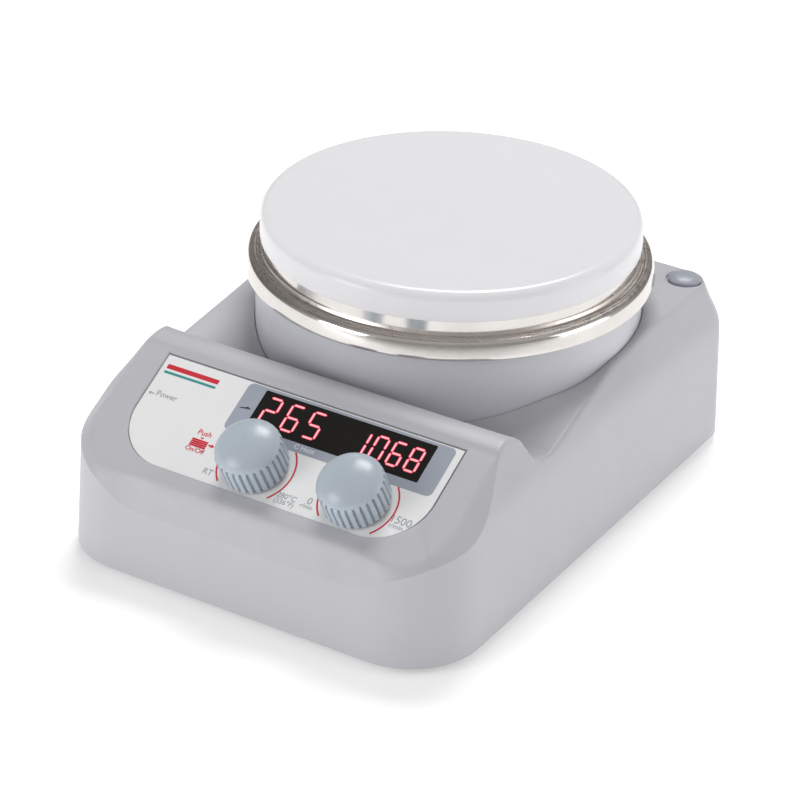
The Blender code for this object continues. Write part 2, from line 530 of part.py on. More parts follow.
def make_plate():
    edge = arc(PLATE_RADIUS - PLATE_EDGE_RADIUS, PLATE_TOP - PLATE_EDGE_RADIUS, PLATE_EDGE_RADIUS, 90, 0, 5)
    plate = ([(0, PLATE_TOP)] + edge
             + [(PLATE_RADIUS, PLATE_SKIRT + 0.5 * MM), (PLATE_RADIUS - 0.5 * MM, PLATE_SKIRT)]
             + [(64.6 * MM, PLATE_SKIRT), (64.6 * MM, 93.0 * MM), (0, 93.0 * MM)])
    place("work_plate", lathe(plate, 52), PLATE_WHITE, PLATE_FRAME)
    under = RIM_TOP - RIM_SHEET
    corner = arc(RIM_RADIUS - RIM_CORNER, RIM_TOP - RIM_CORNER, RIM_CORNER, 90, 0, 3)
    rim = ([(RIM_BAND_RADIUS, RIM_BAND_TOP), (RIM_BAND_RADIUS, RIM_TOP)] + corner
           + [(RIM_RADIUS, RIM_BOTTOM + 0.4 * MM), (RIM_RADIUS - RIM_SHEET / 2, RIM_BOTTOM)]
           + [(RIM_RADIUS - RIM_SHEET, RIM_BOTTOM + 0.3 * MM), (RIM_RADIUS - RIM_SHEET, RIM_TOP - RIM_CORNER)]
           + [(RIM_RADIUS - RIM_CORNER, under)]
           + [(RIM_BAND_RADIUS - RIM_SHEET, under), (RIM_BAND_RADIUS - RIM_SHEET, RIM_BAND_TOP)])
    place("steel_rim", lathe(rim, 52), STEEL, PLATE_FRAME)
    outside = bowl_profile()
    inside = [(radius - BOWL_WALL, z + BOWL_WALL * 0.9) for radius, z in reversed(outside[1:])]
    floor = BOWL_FLOOR + BOWL_WALL
    bowl = (outside + [(BOWL_HOLE, BOWL_FLOOR), (BOWL_HOLE, floor), (inside[0][0], floor)] + inside[1:]
            + [(BOWL_RADIUS - BOWL_WALL, BOWL_TOP)])
    place("plate_bowl", lathe(bowl, 52), BOWL_GREY, PLATE_FRAME)
    place("heater_plate", cylinder(63.5 * MM, 88.6 * MM, 92.7 * MM, 48), ALUMINIUM, PLATE_FRAME)
    element = [(41 * MM, 85.0 * MM), (41 * MM, 88.3 * MM), (22 * MM, 88.3 * MM), (22 * MM, 85.0 * MM)]
    place("heating_element", lathe(element, 40), DARK_STEEL, PLATE_FRAME)
    insulation = [(42 * MM, 81.0 * MM), (42 * MM, 84.7 * MM), (6 * MM, 84.7 * MM), (6 * MM, 81.0 * MM)]
    place("insulation_disc", lathe(insulation, 40), CERAMIC, PLATE_FRAME)
    place("temperature_sensor", cylinder(2.2 * MM, 78 * MM, 88.3 * MM, 16), BRASS, PLATE_FRAME)
    post = [(0, floor + GAP), (5 * MM, floor + GAP), (5 * MM, floor + 3 * MM), (2.5 * MM, floor + 5 * MM),
            (2.5 * MM, 88.3 * MM), (0, 88.3 * MM)]
    for number, angle in enumerate((90, 210, 330), 1):
        a = math.radians(angle)
        spot = (STANDOFF_CIRCLE * math.cos(a), STANDOFF_CIRCLE * math.sin(a), 0)
        place(f"plate_standoff_{number}", lathe(post, 16), CERAMIC, PLATE_FRAME, spot)


def make_drive():
    motor = [(0, 12 * MM), (26 * MM, 12 * MM), (28 * MM, 14 * MM), (28 * MM, 38 * MM),
             (26 * MM, 40.2 * MM), (8 * MM, 40.2 * MM), (8 * MM, 48.5 * MM), (3.4 * MM, 48.5 * MM),
             (3.4 * MM, 20 * MM), (0, 20 * MM)]
    place("stirrer_motor", lathe(motor, 32), DARK_STEEL, PLATE_FRAME)
    bracket = [(29 * MM, 40.5 * MM), (29 * MM, 44.4 * MM), (25 * MM, 44.4 * MM), (25 * MM, 42.7 * MM),
               (9.5 * MM, 42.7 * MM), (9.5 * MM, 40.5 * MM)]
    place("motor_bracket", lathe(bracket, 36), ALUMINIUM, PLATE_FRAME)
    place("motor_shaft", cylinder(SHAFT_RADIUS, 20.5 * MM, 71 * MM, 20), STEEL, PLATE_FRAME)
    collar = [(8 * MM, 60 * MM), (8 * MM, 65.7 * MM), (SHAFT_BORE, 65.7 * MM), (SHAFT_BORE, 60 * MM)]
    place("shaft_collar", lathe(collar, 24), BRASS, PLATE_FRAME)
    bar = prism(rounded_rectangle(-39 * MM, 39 * MM, -12 * MM, 12 * MM, 6 * MM, 3), 66 * MM, 72 * MM)
    carrier = place("magnet_carrier", bar, ALUMINIUM, PLATE_FRAME)
    combine(carrier, cylinder(SHAFT_BORE, 60 * MM, 80 * MM, 20))
    for side, x in (("left", -MAGNET_OFFSET), ("right", MAGNET_OFFSET)):
        magnet = cylinder(MAGNET_RADIUS, 72.3 * MM, 79.5 * MM, 28)
        place(f"magnet_{side}", magnet, DARK_STEEL, PLATE_FRAME, (x, 0, 0))


# ---------------------------------------------------------------- mains parts

def make_mains():
    place("power_board", box((-50 * MM, 62 * MM, 6 * MM), (44 * MM, 84 * MM, 7.6 * MM)), BOARD_GREEN)
    place("transformer", box((-44 * MM, 63 * MM, 7.9 * MM), (-14 * MM, 83 * MM, 32 * MM)), DARK_STEEL)
    place("heater_relay", box((-8 * MM, 64 * MM, 7.9 * MM), (6 * MM, 80 * MM, 24 * MM)), BLACK_PLASTIC)

    at = (INLET_X, 0, 0)
    flange = box((-15.5 * MM, SOCKET_POCKET + GAP, 7.2 * MM), (15.5 * MM, INLET_FACE, 42.8 * MM))
    inlet = place("power_inlet", flange, BLACK_PLASTIC, location=at)
    shroud = box((-12.8 * MM, 84.4 * MM, 9.1 * MM), (12.8 * MM, 103 * MM, 40.9 * MM))
    combine(inlet, shroud, "UNION", location=at)
    cavity = [(-11 * MM, 22 * MM), (11 * MM, 22 * MM), (11 * MM, 34 * MM), (7.5 * MM, 37.5 * MM),
              (-7.5 * MM, 37.5 * MM), (-11 * MM, 34 * MM)]
    combine(inlet, prism(cavity, -110 * MM, -88 * MM), location=at, rotation=(math.radians(90), 0, 0))
    combine(inlet, box((-11 * MM, 87.6 * MM, 11 * MM), (11 * MM, 110 * MM, 19 * MM)), location=at)
    for name, x, z in (("line", -6.5, 28.0), ("earth", 0, 32.0), ("neutral", 6.5, 28.0)):
        low = ((x - 1) * MM, 88.3 * MM, (z - 2) * MM)
        high = ((x + 1) * MM, 100.5 * MM, (z + 2) * MM)
        place(f"inlet_pin_{name}", box(low, high), BRASS, location=at)

    drawer = box((-10.7 * MM, 88 * MM, 11.3 * MM), (10.7 * MM, 103.9 * MM, 18.7 * MM))
    drawer = place("fuse_drawer", drawer, BLACK_PLASTIC, location=at)
    bay = box((-10.2 * MM, 89.5 * MM, 12.6 * MM), (10.2 * MM, 95.5 * MM, 25 * MM))
    combine(drawer, bay, location=at)
    fuse = cylinder(2.5 * MM, -9.9 * MM, 9.9 * MM, 16)
    place("fuse", fuse, GLASS, location=(INLET_X, 92.5 * MM, 15.6 * MM), rotation=(0, math.radians(90), 0))

    jack = [(0, 86 * MM), (4 * MM, 86 * MM), (4 * MM, 103.8 * MM), (1.8 * MM, 103.8 * MM),
            (1.8 * MM, 89 * MM), (0, 89 * MM)]
    place("probe_socket", lathe(jack, 24, True), STEEL, location=(PROBE_X, 0, PROBE_HEIGHT))
    nut = [(6.6 * MM, PROBE_POCKET + GAP), (6.6 * MM, 103.4 * MM), (4.3 * MM, 103.4 * MM),
           (4.3 * MM, PROBE_POCKET + GAP)]
    place("probe_socket_nut", lathe(nut, 24, True), STEEL, location=(PROBE_X, 0, PROBE_HEIGHT))


def make_switch():
    centre = (0, SWITCH_Y, SWITCH_HEIGHT)
    flange = box((-77.2 * MM, -10.7 * MM, -11.7 * MM), (SWITCH_POCKET - GAP, 10.7 * MM, 11.7 * MM))
    switch = place("power_switch", flange, BLACK_PLASTIC, location=centre)
    case = box((-76.8 * MM, -8.7 * MM, -9.7 * MM), (-57.5 * MM, 8.7 * MM, 9.7 * MM))
    combine(switch, case, "UNION", location=centre)
    combine(switch, box((-85 * MM, -6.8 * MM, -8.3 * MM), (-66 * MM, 6.8 * MM, 8.3 * MM)), location=centre)
    pivot = empty("rocker_axis", Matrix.Identity(4))
    pivot.parent = HOUSING_FRAME
    pivot.location = (ROCKER_PIVOT_X, SWITCH_Y, SWITCH_HEIGHT)
    back = arc(-1.0 * MM, 0, 7.2 * MM, -75, 75, 8)
    face = [(-3.2 * MM, 7.2 * MM), (-2.2 * MM, 0), (-3.2 * MM, -7.2 * MM)]
    outline = face + [(x * 0.8, z) for x, z in back]
    rocker = prism(outline, -6.3 * MM, 6.3 * MM)
    place("power_rocker", rocker, BLACK_PLASTIC, pivot, rotation=(math.radians(90), ROCKER_TILT, 0))


def make_rod_port():
    mouth = DECK_HEIGHT - WALL - 1.2 * MM
    socket = [(0, 36 * MM), (ROD_BORE, 36 * MM), (ROD_BORE, mouth), (5.6 * MM, mouth), (5.6 * MM, 34 * MM),
              (0, 34 * MM)]
    place("rod_socket", lathe(socket, 28), ALUMINIUM, location=(ROD_X, ROD_Y, 0))
    seat = DECK_HEIGHT - 0.9 * MM + GAP
    dome = [(CAP_RADIUS * math.cos(math.radians(a)), DECK_HEIGHT + CAP_DOME * math.sin(math.radians(a)))
            for a in (0, 22, 45, 68)]
    cap = ([(0, DECK_HEIGHT + CAP_DOME)] + dome[::-1] + [(CAP_RADIUS, seat), (ROD_BORE - GAP, seat)]
           + [(ROD_BORE - GAP, DECK_HEIGHT - 9.6 * MM), (0, DECK_HEIGHT - 9.6 * MM)])
    place("rod_port_cap", lathe(cap, 28), KNOB_BLUE, location=(ROD_X, ROD_Y, 0))


make_housing()
make_base()
make_panel()
make_knobs()
make_plate()
make_drive()
make_mains()
make_switch()
make_rod_port()
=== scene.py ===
"""Looks of the hotplate magnetic stirrer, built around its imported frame.

Metres, +Z up, the control panel facing -Y.  Sizes are given in millimetres and scaled by MM.
"""

import json
import math

import bmesh
import bpy
import numpy as np
from mathutils import Matrix, Vector

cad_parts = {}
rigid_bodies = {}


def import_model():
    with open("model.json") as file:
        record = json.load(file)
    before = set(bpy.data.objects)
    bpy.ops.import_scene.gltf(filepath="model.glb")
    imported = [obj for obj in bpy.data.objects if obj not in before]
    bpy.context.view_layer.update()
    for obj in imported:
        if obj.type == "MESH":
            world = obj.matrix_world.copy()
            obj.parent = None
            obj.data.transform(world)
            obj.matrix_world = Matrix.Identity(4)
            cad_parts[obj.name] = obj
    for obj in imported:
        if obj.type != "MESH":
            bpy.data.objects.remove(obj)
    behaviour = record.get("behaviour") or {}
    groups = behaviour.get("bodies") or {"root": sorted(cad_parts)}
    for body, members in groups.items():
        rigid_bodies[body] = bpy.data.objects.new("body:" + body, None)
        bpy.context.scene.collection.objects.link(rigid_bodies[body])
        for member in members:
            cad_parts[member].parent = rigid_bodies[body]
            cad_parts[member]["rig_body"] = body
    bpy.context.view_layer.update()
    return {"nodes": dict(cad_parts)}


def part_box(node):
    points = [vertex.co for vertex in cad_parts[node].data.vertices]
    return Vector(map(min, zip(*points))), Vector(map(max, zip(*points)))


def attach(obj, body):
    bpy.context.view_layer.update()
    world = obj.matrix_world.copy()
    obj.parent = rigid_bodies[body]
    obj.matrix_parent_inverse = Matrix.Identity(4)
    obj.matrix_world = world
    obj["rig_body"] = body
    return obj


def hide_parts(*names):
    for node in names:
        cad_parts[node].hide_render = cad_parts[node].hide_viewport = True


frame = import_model()

MM = 0.001
ROOT = "stirrer_base"
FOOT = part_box("upper_housing")[0].z                       # the housing's lower edge

# ---------------------------------------------------------------- frames taken from the CAD

PANEL_ANGLE = math.radians(29.13)
PANEL_TOP_Y = -56.85
PANEL = Matrix.Translation((0, PANEL_TOP_Y * MM, 63.17 * MM)) @ Matrix.Rotation(PANEL_ANGLE, 4, "X")
PANEL_FACE = -0.15                                        # faces of the overlay and of the print on it
PRINT_LOW, PRINT_HIGH = -0.13, -0.09
SHEET_BACK = -1.2
KNOBS = {"temperature": (-5.7, -30.6), "speed": (34.3, -30.6)}
BUSH_HOLE = 4.2
PLATE_LOW, PLATE_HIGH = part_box("work_plate")
PLATE_Y = (PLATE_LOW.y + PLATE_HIGH.y) / 2
PLATE = Matrix.Translation((0, PLATE_Y, FOOT))
HOUSING = Matrix.Translation((0, 0, FOOT))
CAP_LOW, CAP_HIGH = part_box("rod_port_cap")
ROD = ((CAP_LOW.x + CAP_HIGH.x) / 2 / MM, (CAP_LOW.y + CAP_HIGH.y) / 2 / MM)

# ---------------------------------------------------------------- camera

CAMERA_AZIMUTH, CAMERA_ELEVATION, CAMERA_ROLL = 30.597, 28.755, -1.848
CAMERA_PAN, CAMERA_TILT = 0.023, 0.272
CAMERA_DISTANCE, CAMERA_LENS = 1.13291, 144.65
AIM_HEIGHT = 0.040                                        # the point looked at, above the housing's foot


def direction(azimuth, elevation):
    """Unit vector towards a place seen at these angles; azimuth 0 is the front, -Y."""
    a, e = math.radians(azimuth), math.radians(elevation)
    return Vector((math.sin(a) * math.cos(e), -math.cos(a) * math.cos(e), math.sin(e)))


def make_camera():
    """A camera at the viewing angles, turned slightly off its aim and rolled."""
    data = bpy.data.cameras.new("camera")
    data.sensor_width = 36
    data.lens = CAMERA_LENS
    data.clip_start = 0.05
    camera = bpy.data.objects.new("camera", data)
    bpy.context.collection.objects.link(camera)
    back = direction(CAMERA_AZIMUTH + CAMERA_PAN, CAMERA_ELEVATION + CAMERA_TILT)
    azimuth = math.radians(CAMERA_AZIMUTH + CAMERA_PAN)
    right = Vector((math.cos(azimuth), math.sin(azimuth), 0))
    up = back.cross(right)
    c, s = math.cos(math.radians(CAMERA_ROLL)), math.sin(math.radians(CAMERA_ROLL))
    right, up = c * right - s * up, s * right + c * up
    place = Vector((0, 0, AIM_HEIGHT + FOOT)) + direction(CAMERA_AZIMUTH, CAMERA_ELEVATION) * CAMERA_DISTANCE
    turn = Matrix((right, up, back)).transposed()
    camera.matrix_world = Matrix.Translation(place) @ turn.to_4x4()
    bpy.context.scene.camera = camera


# ---------------------------------------------------------------- materials

def shader_material(name, colour, roughness, metallic=0.0, **sockets):
    mat = bpy.data.materials.new(name)
    mat.use_nodes = True
    shader = mat.node_tree.nodes["Principled BSDF"]
    shader.inputs["Base Color"].default_value = (*colour, 1)
    shader.inputs["Roughness"].default_value = roughness
    shader.inputs["Metallic"].default_value = metallic
    for socket, value in sockets.items():
        shader.inputs[socket.replace("_", " ")].default_value = value
    mat.diffuse_color = (*colour, 1)
    return mat


def add_noise(mat, scale, detail=3.0, stretch=None):
    """A noise texture in the object's own coordinates, as a node to link from."""
    nodes, links = mat.node_tree.nodes, mat.node_tree.links
    coordinates = nodes.new("ShaderNodeTexCoord")
    noise = nodes.new("ShaderNodeTexNoise")
    noise.inputs["Scale"].default_value = scale
    noise.inputs["Detail"].default_value = detail
    source = coordinates.outputs["Object"]
    if stretch:
        mapping = nodes.new("ShaderNodeMapping")
        mapping.inputs["Scale"].default_value = stretch
        links.new(source, mapping.inputs["Vector"])
        source = mapping.outputs["Vector"]
    links.new(source, noise.inputs["Vector"])
    return noise


def vary_colour(mat, colour, scale, amount):
    """Mottle the base colour by a small share, dark to light."""
    nodes, links = mat.node_tree.nodes, mat.node_tree.links
    noise = add_noise(mat, scale)
    ramp = nodes.new("ShaderNodeValToRGB")
    ramp.color_ramp.elements[0].position, ramp.color_ramp.elements[1].position = 0.3, 0.7
    ramp.color_ramp.elements[0].color = (*[c * (1 - amount) for c in colour], 1)
    ramp.color_ramp.elements[1].color = (*[min(1, c * (1 + amount)) for c in colour], 1)
    links.new(noise.outputs["Fac"], ramp.inputs["Fac"])
    links.new(ramp.outputs["Color"], nodes["Principled BSDF"].inputs["Base Color"])


def vary_roughness(mat, roughness, scale, amount):
    nodes, links = mat.node_tree.nodes, mat.node_tree.links
    noise = add_noise(mat, scale)
    spread = nodes.new("ShaderNodeMapRange")
    spread.inputs["From Min"].default_value, spread.inputs["From Max"].default_value = 0.3, 0.7
    spread.inputs["To Min"].default_value = roughness * (1 - amount)
    spread.inputs["To Max"].default_value = roughness * (1 + amount)
    links.new(noise.outputs["Fac"], spread.inputs["Value"])
    links.new(spread.outputs["Result"], nodes["Principled BSDF"].inputs["Roughness"])


def add_bump(mat, scale, strength, distance, stretch=None):
    nodes, links = mat.node_tree.nodes, mat.node_tree.links
    noise = add_noise(mat, scale, 2.0, stretch)
    bump = nodes.new("ShaderNodeBump")
    bump.inputs["Strength"].default_value = strength
    bump.inputs["Distance"].default_value = distance
    links.new(noise.outputs["Fac"], bump.inputs["Height"])
    links.new(bump.outputs["Normal"], nodes["Principled BSDF"].inputs["Normal"])


def plastic(name, colour, roughness, grain, mottle):
    """A moulded, painted or printed surface with faint mottling and a fine grain."""
    mat = shader_material(name, colour, roughness)
    vary_colour(mat, colour, 60, mottle)
    vary_roughness(mat, roughness, 220, 0.12)
    add_bump(mat, 2600, grain, 0.05 * MM)
    return mat


def metal(name, colour, roughness, brush=(1, 1, 1), grain=0.08):
    """A bare metal surface; brush stretches its grain along an axis."""
    mat = shader_material(name, colour, roughness, 1.0)
    vary_colour(mat, colour, 90, 0.04)
    vary_roughness(mat, roughness, 400, 0.25)
    add_bump(mat, 1500, grain, 0.03 * MM, brush)
    return mat


def glowing(name, colour, strength):
    unlit = [c * 0.4 for c in colour]
    mat = shader_material(name, unlit, 0.4)
    shader = mat.node_tree.nodes["Principled BSDF"]
    shader.inputs["Emission Color"].default_value = (*colour, 1)
    shader.inputs["Emission Strength"].default_value = strength
    vary_colour(mat, unlit, 900, 0.1)
    return mat


HOUSING_GREY = plastic("housing_grey_plastic", (0.515, 0.518, 0.550), 0.42, 0.10, 0.012)
BOWL_GREY = plastic("bowl_grey_coating", (0.610, 0.620, 0.665), 0.45, 0.12, 0.015)
PANEL_WHITE = plastic("panel_overlay", (0.845, 0.850, 0.855), 0.38, 0.05, 0.01)
SURROUND = plastic("surround_ink", (0.350, 0.384, 0.450), 0.42, 0.05, 0.03)
WINDOW = plastic("window_lens", (0.0095, 0.0090, 0.0080), 0.16, 0.0, 0.1)
KNOB_BLUE = plastic("knob_plastic", (0.450, 0.515, 0.575), 0.30, 0.0, 0.01)
CAP_BLUE = plastic("cap_plastic", (0.370, 0.400, 0.455), 0.34, 0.04, 0.02)
PLATE_WHITE = plastic("plate_enamel", (0.838, 0.838, 0.866), 0.24, 0.04, 0.006)
STEEL = metal("polished_ring_steel", (0.70, 0.68, 0.655), 0.12, (1, 1, 9), 0.05)
# steel a little warmer in tone and rougher than the polished ring steel, for the ring's flange
TINTED_STEEL = metal("warm_rough_steel", (0.72, 0.67, 0.63), 0.32, grain=0.0)
BRIGHT_STEEL = metal("turned_steel", (0.58, 0.58, 0.57), 0.28, (1, 1, 8))
ALUMINIUM = metal("machined_aluminium", (0.62, 0.63, 0.64), 0.35, (6, 1, 1))
DARK_STEEL = plastic("dark_powder_coat", (0.060, 0.060, 0.064), 0.5, 0.35, 0.06)
BRASS = metal("pin_brass", (0.62, 0.44, 0.17), 0.25)
CERAMIC = plastic("ceramic", (0.62, 0.59, 0.52), 0.6, 0.3, 0.04)
BOARD_GREEN = plastic("board_laminate", (0.015, 0.12, 0.05), 0.4, 0.1, 0.15)
BLACK_PLASTIC = plastic("black_plastic", (0.022, 0.022, 0.024), 0.42, 0.3, 0.08)
RUBBER = plastic("black_rubber", (0.018, 0.018, 0.018), 0.75, 0.5, 0.15)
INK_GREY = plastic("grey_ink", (0.390, 0.415, 0.440), 0.5, 0.0, 0.05)
INK_DARK = plastic("dark_ink", (0.030, 0.030, 0.035), 0.5, 0.0, 0.1)
INK_RED = plastic("red_ink", (0.62, 0.022, 0.040), 0.45, 0.0, 0.05)
INK_TEAL = plastic("teal_ink", (0.030, 0.300, 0.290), 0.45, 0.0, 0.05)
INK_WHITE = plastic("white_ink", (0.75, 0.78, 0.82), 0.5, 0.0, 0.03)
LED_EDGE = glowing("digit_red", (1.0, 0.085, 0.16), 0.85)
LED_CORE = glowing("digit_core", (1.0, 0.47, 0.50), 1.0)
MODULE_RED = plastic("digit_module", (0.10, 0.012, 0.014), 0.4, 0.1, 0.1)
GLASS = shader_material("fuse_glass", (0.9, 0.93, 0.95), 0.05, Transmission_Weight=0.9, IOR=1.5)
vary_roughness(GLASS, 0.05, 300, 0.3)


# ---------------------------------------------------------------- mesh helpers

def finish_mesh(name, bm, mats, matrix=None, sharp=32, smooth=True):
    """A bmesh in millimetres becomes an object whose mesh is in the row frame."""
    bmesh.ops.recalc_face_normals(bm, faces=bm.faces)
    mesh = bpy.data.meshes.new(name)
    bm.to_mesh(mesh)
    bm.free()
    mesh.transform((matrix or HOUSING) @ Matrix.Scale(MM, 4))
    for mat in mats if isinstance(mats, (list, tuple)) else [mats]:
        mesh.materials.append(mat)
    if smooth:
        mesh.shade_smooth()
        mesh.set_sharp_from_angle(angle=math.radians(sharp))
    obj = bpy.data.objects.new(name, mesh)
    bpy.context.collection.objects.link(obj)
    return obj


def shift(x, y, z=0):
    """A move by millimetres, as a matrix in metres."""
    return Matrix.Translation((x * MM, y * MM, z * MM))


def keep(obj, body=ROOT, replaced=()):
    """Say which body a piece rides on, and hide the CAD nodes it stands for."""
    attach(obj, body)
    if replaced:
        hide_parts(*replaced)


def prism(outline, low, high, flare=None):
    """Extrude an outline; flare is a list of (outline, z) levels put above the top."""
    bm = bmesh.new()
    levels = [(outline, low), (outline, high)] + (flare or [])
    rings = [[bm.verts.new((x, y, z)) for x, y in points] for points, z in levels]
    bm.faces.new(rings[0])
    bm.faces.new(rings[-1])
    for one, two in zip(rings, rings[1:]):
        for i in range(len(one)):
            j = (i + 1) % len(one)
            bm.faces.new((one[i], one[j], two[j], two[i]))
    return bm


def box(low, high):
    bm = bmesh.new()
    low, high = Vector(low), Vector(high)
    centre = Matrix.Translation((low + high) / 2)
    bmesh.ops.create_cube(bm, size=1, matrix=centre @ Matrix.Diagonal((*(high - low), 1)))
    return bm


def lathe(profile, segments=160, axis_y=False):
    """Turn (radius, z) points about Z; radius 0 closes an end, or else the profile closes on itself."""
    bm = bmesh.new()
    rings = []
    for radius, z in profile:
        if radius == 0:
            rings.append([bm.verts.new((0, 0, z))])
            continue
        turns = [2 * math.pi * k / segments for k in range(segments)]
        rings.append([bm.verts.new((radius * math.cos(a), radius * math.sin(a), z)) for a in turns])
    pairs = list(zip(rings, rings[1:]))
    if profile[0][0] > 0:
        pairs.append((rings[-1], rings[0]))
    for one, two in pairs:
        for k in range(segments):
            n = (k + 1) % segments
            corners = [one[k % len(one)], one[n % len(one)], two[n % len(two)], two[k % len(two)]]
            unique = list(dict.fromkeys(corners))
            if len(unique) > 2:
                bm.faces.new(unique)
    if axis_y:
        turn = Matrix.Rotation(math.radians(-90), 3, "X")
        bmesh.ops.rotate(bm, verts=bm.verts, cent=(0, 0, 0), matrix=turn)
    return bm


def cylinder(radius, low, high, segments=64, axis_y=False):
    return lathe([(0, low), (radius, low), (radius, high), (0, high)], segments, axis_y)


def arc(cx, cy, radius, start, end, steps):
    turns = [math.radians(start + (end - start) * i / steps) for i in range(steps + 1)]
    return [(cx + radius * math.cos(a), cy + radius * math.sin(a)) for a in turns]


def rounded_rectangle(left, right, bottom, top, radius, steps=8):
    return (arc(right - radius, top - radius, radius, 0, 90, steps)
            + arc(left + radius, top - radius, radius, 90, 180, steps)
            + arc(left + radius, bottom + radius, radius, 180, 270, steps)
            + arc(right - radius, bottom + radius, radius, 270, 360, steps))


def fillet(points, step=12):
    """Profile points (r, z[, radius]) with each radius turned into an arc."""
    out = []
    for i, point in enumerate(points):
        radius = point[2] if len(point) > 2 else 0
        if not radius or i in (0, len(points) - 1):
            out.append(tuple(point[:2]))
            continue
        tip = Vector(point[:2])
        a = (tip - Vector(points[i - 1][:2])).normalized()
        b = (Vector(points[i + 1][:2]) - tip).normalized()
        turn = math.atan2(a.cross(b), a.dot(b))
        reach = radius * math.tan(abs(turn) / 2)
        start = tip - a * reach
        centre = start + Vector((-a.y, a.x)) * math.copysign(radius, turn)
        count = max(2, math.ceil(abs(math.degrees(turn)) / step))
        for k in range(count + 1):
            out.append(tuple(centre + Matrix.Rotation(turn * k / count, 2) @ (start - centre)))
    return out


def apply_modifiers(obj):
    """Replace the mesh by its evaluated form and drop the modifiers."""
    depsgraph = bpy.context.evaluated_depsgraph_get()
    mesh = bpy.data.meshes.new_from_object(obj.evaluated_get(depsgraph))
    obj.modifiers.clear()
    obj.data = mesh


def cut(obj, tools):
    """Take (bmesh, matrix) tools away from an object, one after another."""
    for bm, matrix in tools:
        tool = finish_mesh("tool", bm, obj.data.materials[0], matrix)
        boolean = obj.modifiers.new("cut", "BOOLEAN")
        boolean.operation = "DIFFERENCE"
        boolean.object = tool
        apply_modifiers(obj)
        bpy.data.objects.remove(tool)


def bevelled(node, name, width, segments, mat, angle=30):
    """A copy of a CAD node with rounded edges, riding on the node's body in its place."""
    source = frame["nodes"][node]
    mesh = source.data.copy()
    mesh.materials.clear()
    obj = bpy.data.objects.new(name, mesh)
    bpy.context.collection.objects.link(obj)
    mesh.materials.append(mat)
    bm = bmesh.new()
    bm.from_mesh(mesh)
    bmesh.ops.remove_doubles(bm, verts=bm.verts, dist=0.002 * MM)
    bmesh.ops.dissolve_limit(bm, angle_limit=math.radians(1), verts=bm.verts, edges=bm.edges)
    bm.to_mesh(mesh)
    bm.free()
    bevel = obj.modifiers.new("bevel", "BEVEL")
    bevel.width = width * MM
    bevel.segments = segments
    bevel.limit_method = "ANGLE"
    bevel.angle_limit = math.radians(angle)
    apply_modifiers(obj)
    obj.data.shade_smooth()
    obj.data.set_sharp_from_angle(angle=math.radians(38))
    keep(obj, source["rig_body"], (node,))


# ---------------------------------------------------------------- housing

BODY_WIDTH, BODY_DEPTH = 156.6, 208.6
FRONT_CORNER, BACK_CORNER = 27.0, 10.0
DECK_HEIGHT = 61.4
LEAN_HEIGHTS = (0.0, 44, 47, 50.5, 53.7, 56.8, 61.5, 70)       # the side walls lean in by LEANS up to here
LEANS = (0.0, 1.54, 2.0, 3.1, 4.8, 6.1, 8.0, 11.4)
BACK_LEAN = 0.52                                               # the rear wall's share of that lean
RIDGE_Y, RIDGE_HEIGHT = -42.4, 62.0
PANEL_TOP_HEIGHT = 60.17
TROUGH_HALF_WIDTH, CREASE_X = 60.0, 70.0
SHOULDER_SLOPE, FRONT_SLOPE, FRONT_CURVE = 1.0, 1.3, 0.12      # fall of the shoulder, per millimetre
SHOULDER_FRONT, SHOULDER_CORNER, DECK_EDGE = 4.6, 2.0, 0.8      # its width along the front, corners and deck
NOSE_X, SIDE_Y, NOSE_Y = (44, 64), (-98, -72), (-102, -86)     # where one width of it runs into the next
TROUGH_MIX = 1.3                                               # how soon the rim falls to the trough's floor
SECTION_END = 106.3                                            # the sections run a little past the walls
PEAK_Y = -51.0


def console_height(y):
    """Height of the plane that the control panel lies in."""
    return PANEL_TOP_HEIGHT + (y - PANEL_TOP_Y) * math.tan(PANEL_ANGLE)


# Side view of the housing along its walls and along its trough: points (y, height[, rounding])
FRONT_POINT = (-SECTION_END, console_height(-SECTION_END))
PEAK = (PEAK_Y, console_height(PEAK_Y), 12)
RIDGE = (RIDGE_Y, RIDGE_HEIGHT, 1.4)
SIDE_SECTION = [FRONT_POINT, PEAK, RIDGE, (-37.5, 51.6, 5), (-28.0, 49.6, 10), (22.0, 59.9, 30),
                (44.0, DECK_HEIGHT, 30), (SECTION_END, DECK_HEIGHT)]
TROUGH_SECTION = [FRONT_POINT, PEAK, RIDGE, (-40.2, 49.5, 4), (-33.0, 47.2, 8), (-4.0, 55.4, 20),
                  (26.0, 58.0, 20), (46.0, DECK_HEIGHT, 12), (SECTION_END, DECK_HEIGHT)]
# Grid lines' distances in from the walls, and the walls' rings as shares of their height
EDGE_STEPS = (0, 0.3, 0.6, 0.9, 1.3, 1.8, 2.4, 3, 3.7, 4.5, 5.3, 6.1, 7, 8, 9, 10, 12, 14.5, 17.5, 21, 24, 27)
WALL_STEPS = (0.975, 0.95, 0.92, 0.89, 0.86, 0.83, 0.80, 0.77, 0.74, 0.71, 0.66, 0.5, 0.3, 0.12)


def smooth_lean(height):
    """Inward lean of the side walls at a height, the table averaged over a few millimetres."""
    spread = np.linspace(-2.4, 2.4, 9)
    return np.mean([np.interp(height + s, LEAN_HEIGHTS, LEANS) for s in spread], axis=0)


def lean_shift(x, y, height):
    """Sideways shift of points of the plain rectangle at a height; it fades out away from the walls."""
    lean = smooth_lean(height)
    across = np.clip(1 - (BODY_WIDTH / 2 - np.abs(x)) / FRONT_CORNER, 0, None)
    along = np.clip(1 - (BODY_DEPTH / 2 - np.abs(y)) / FRONT_CORNER, 0, None)
    along = along * np.where(y > 0, BACK_LEAN, 1)
    return -np.sign(x) * lean * across, -np.sign(y) * lean * along


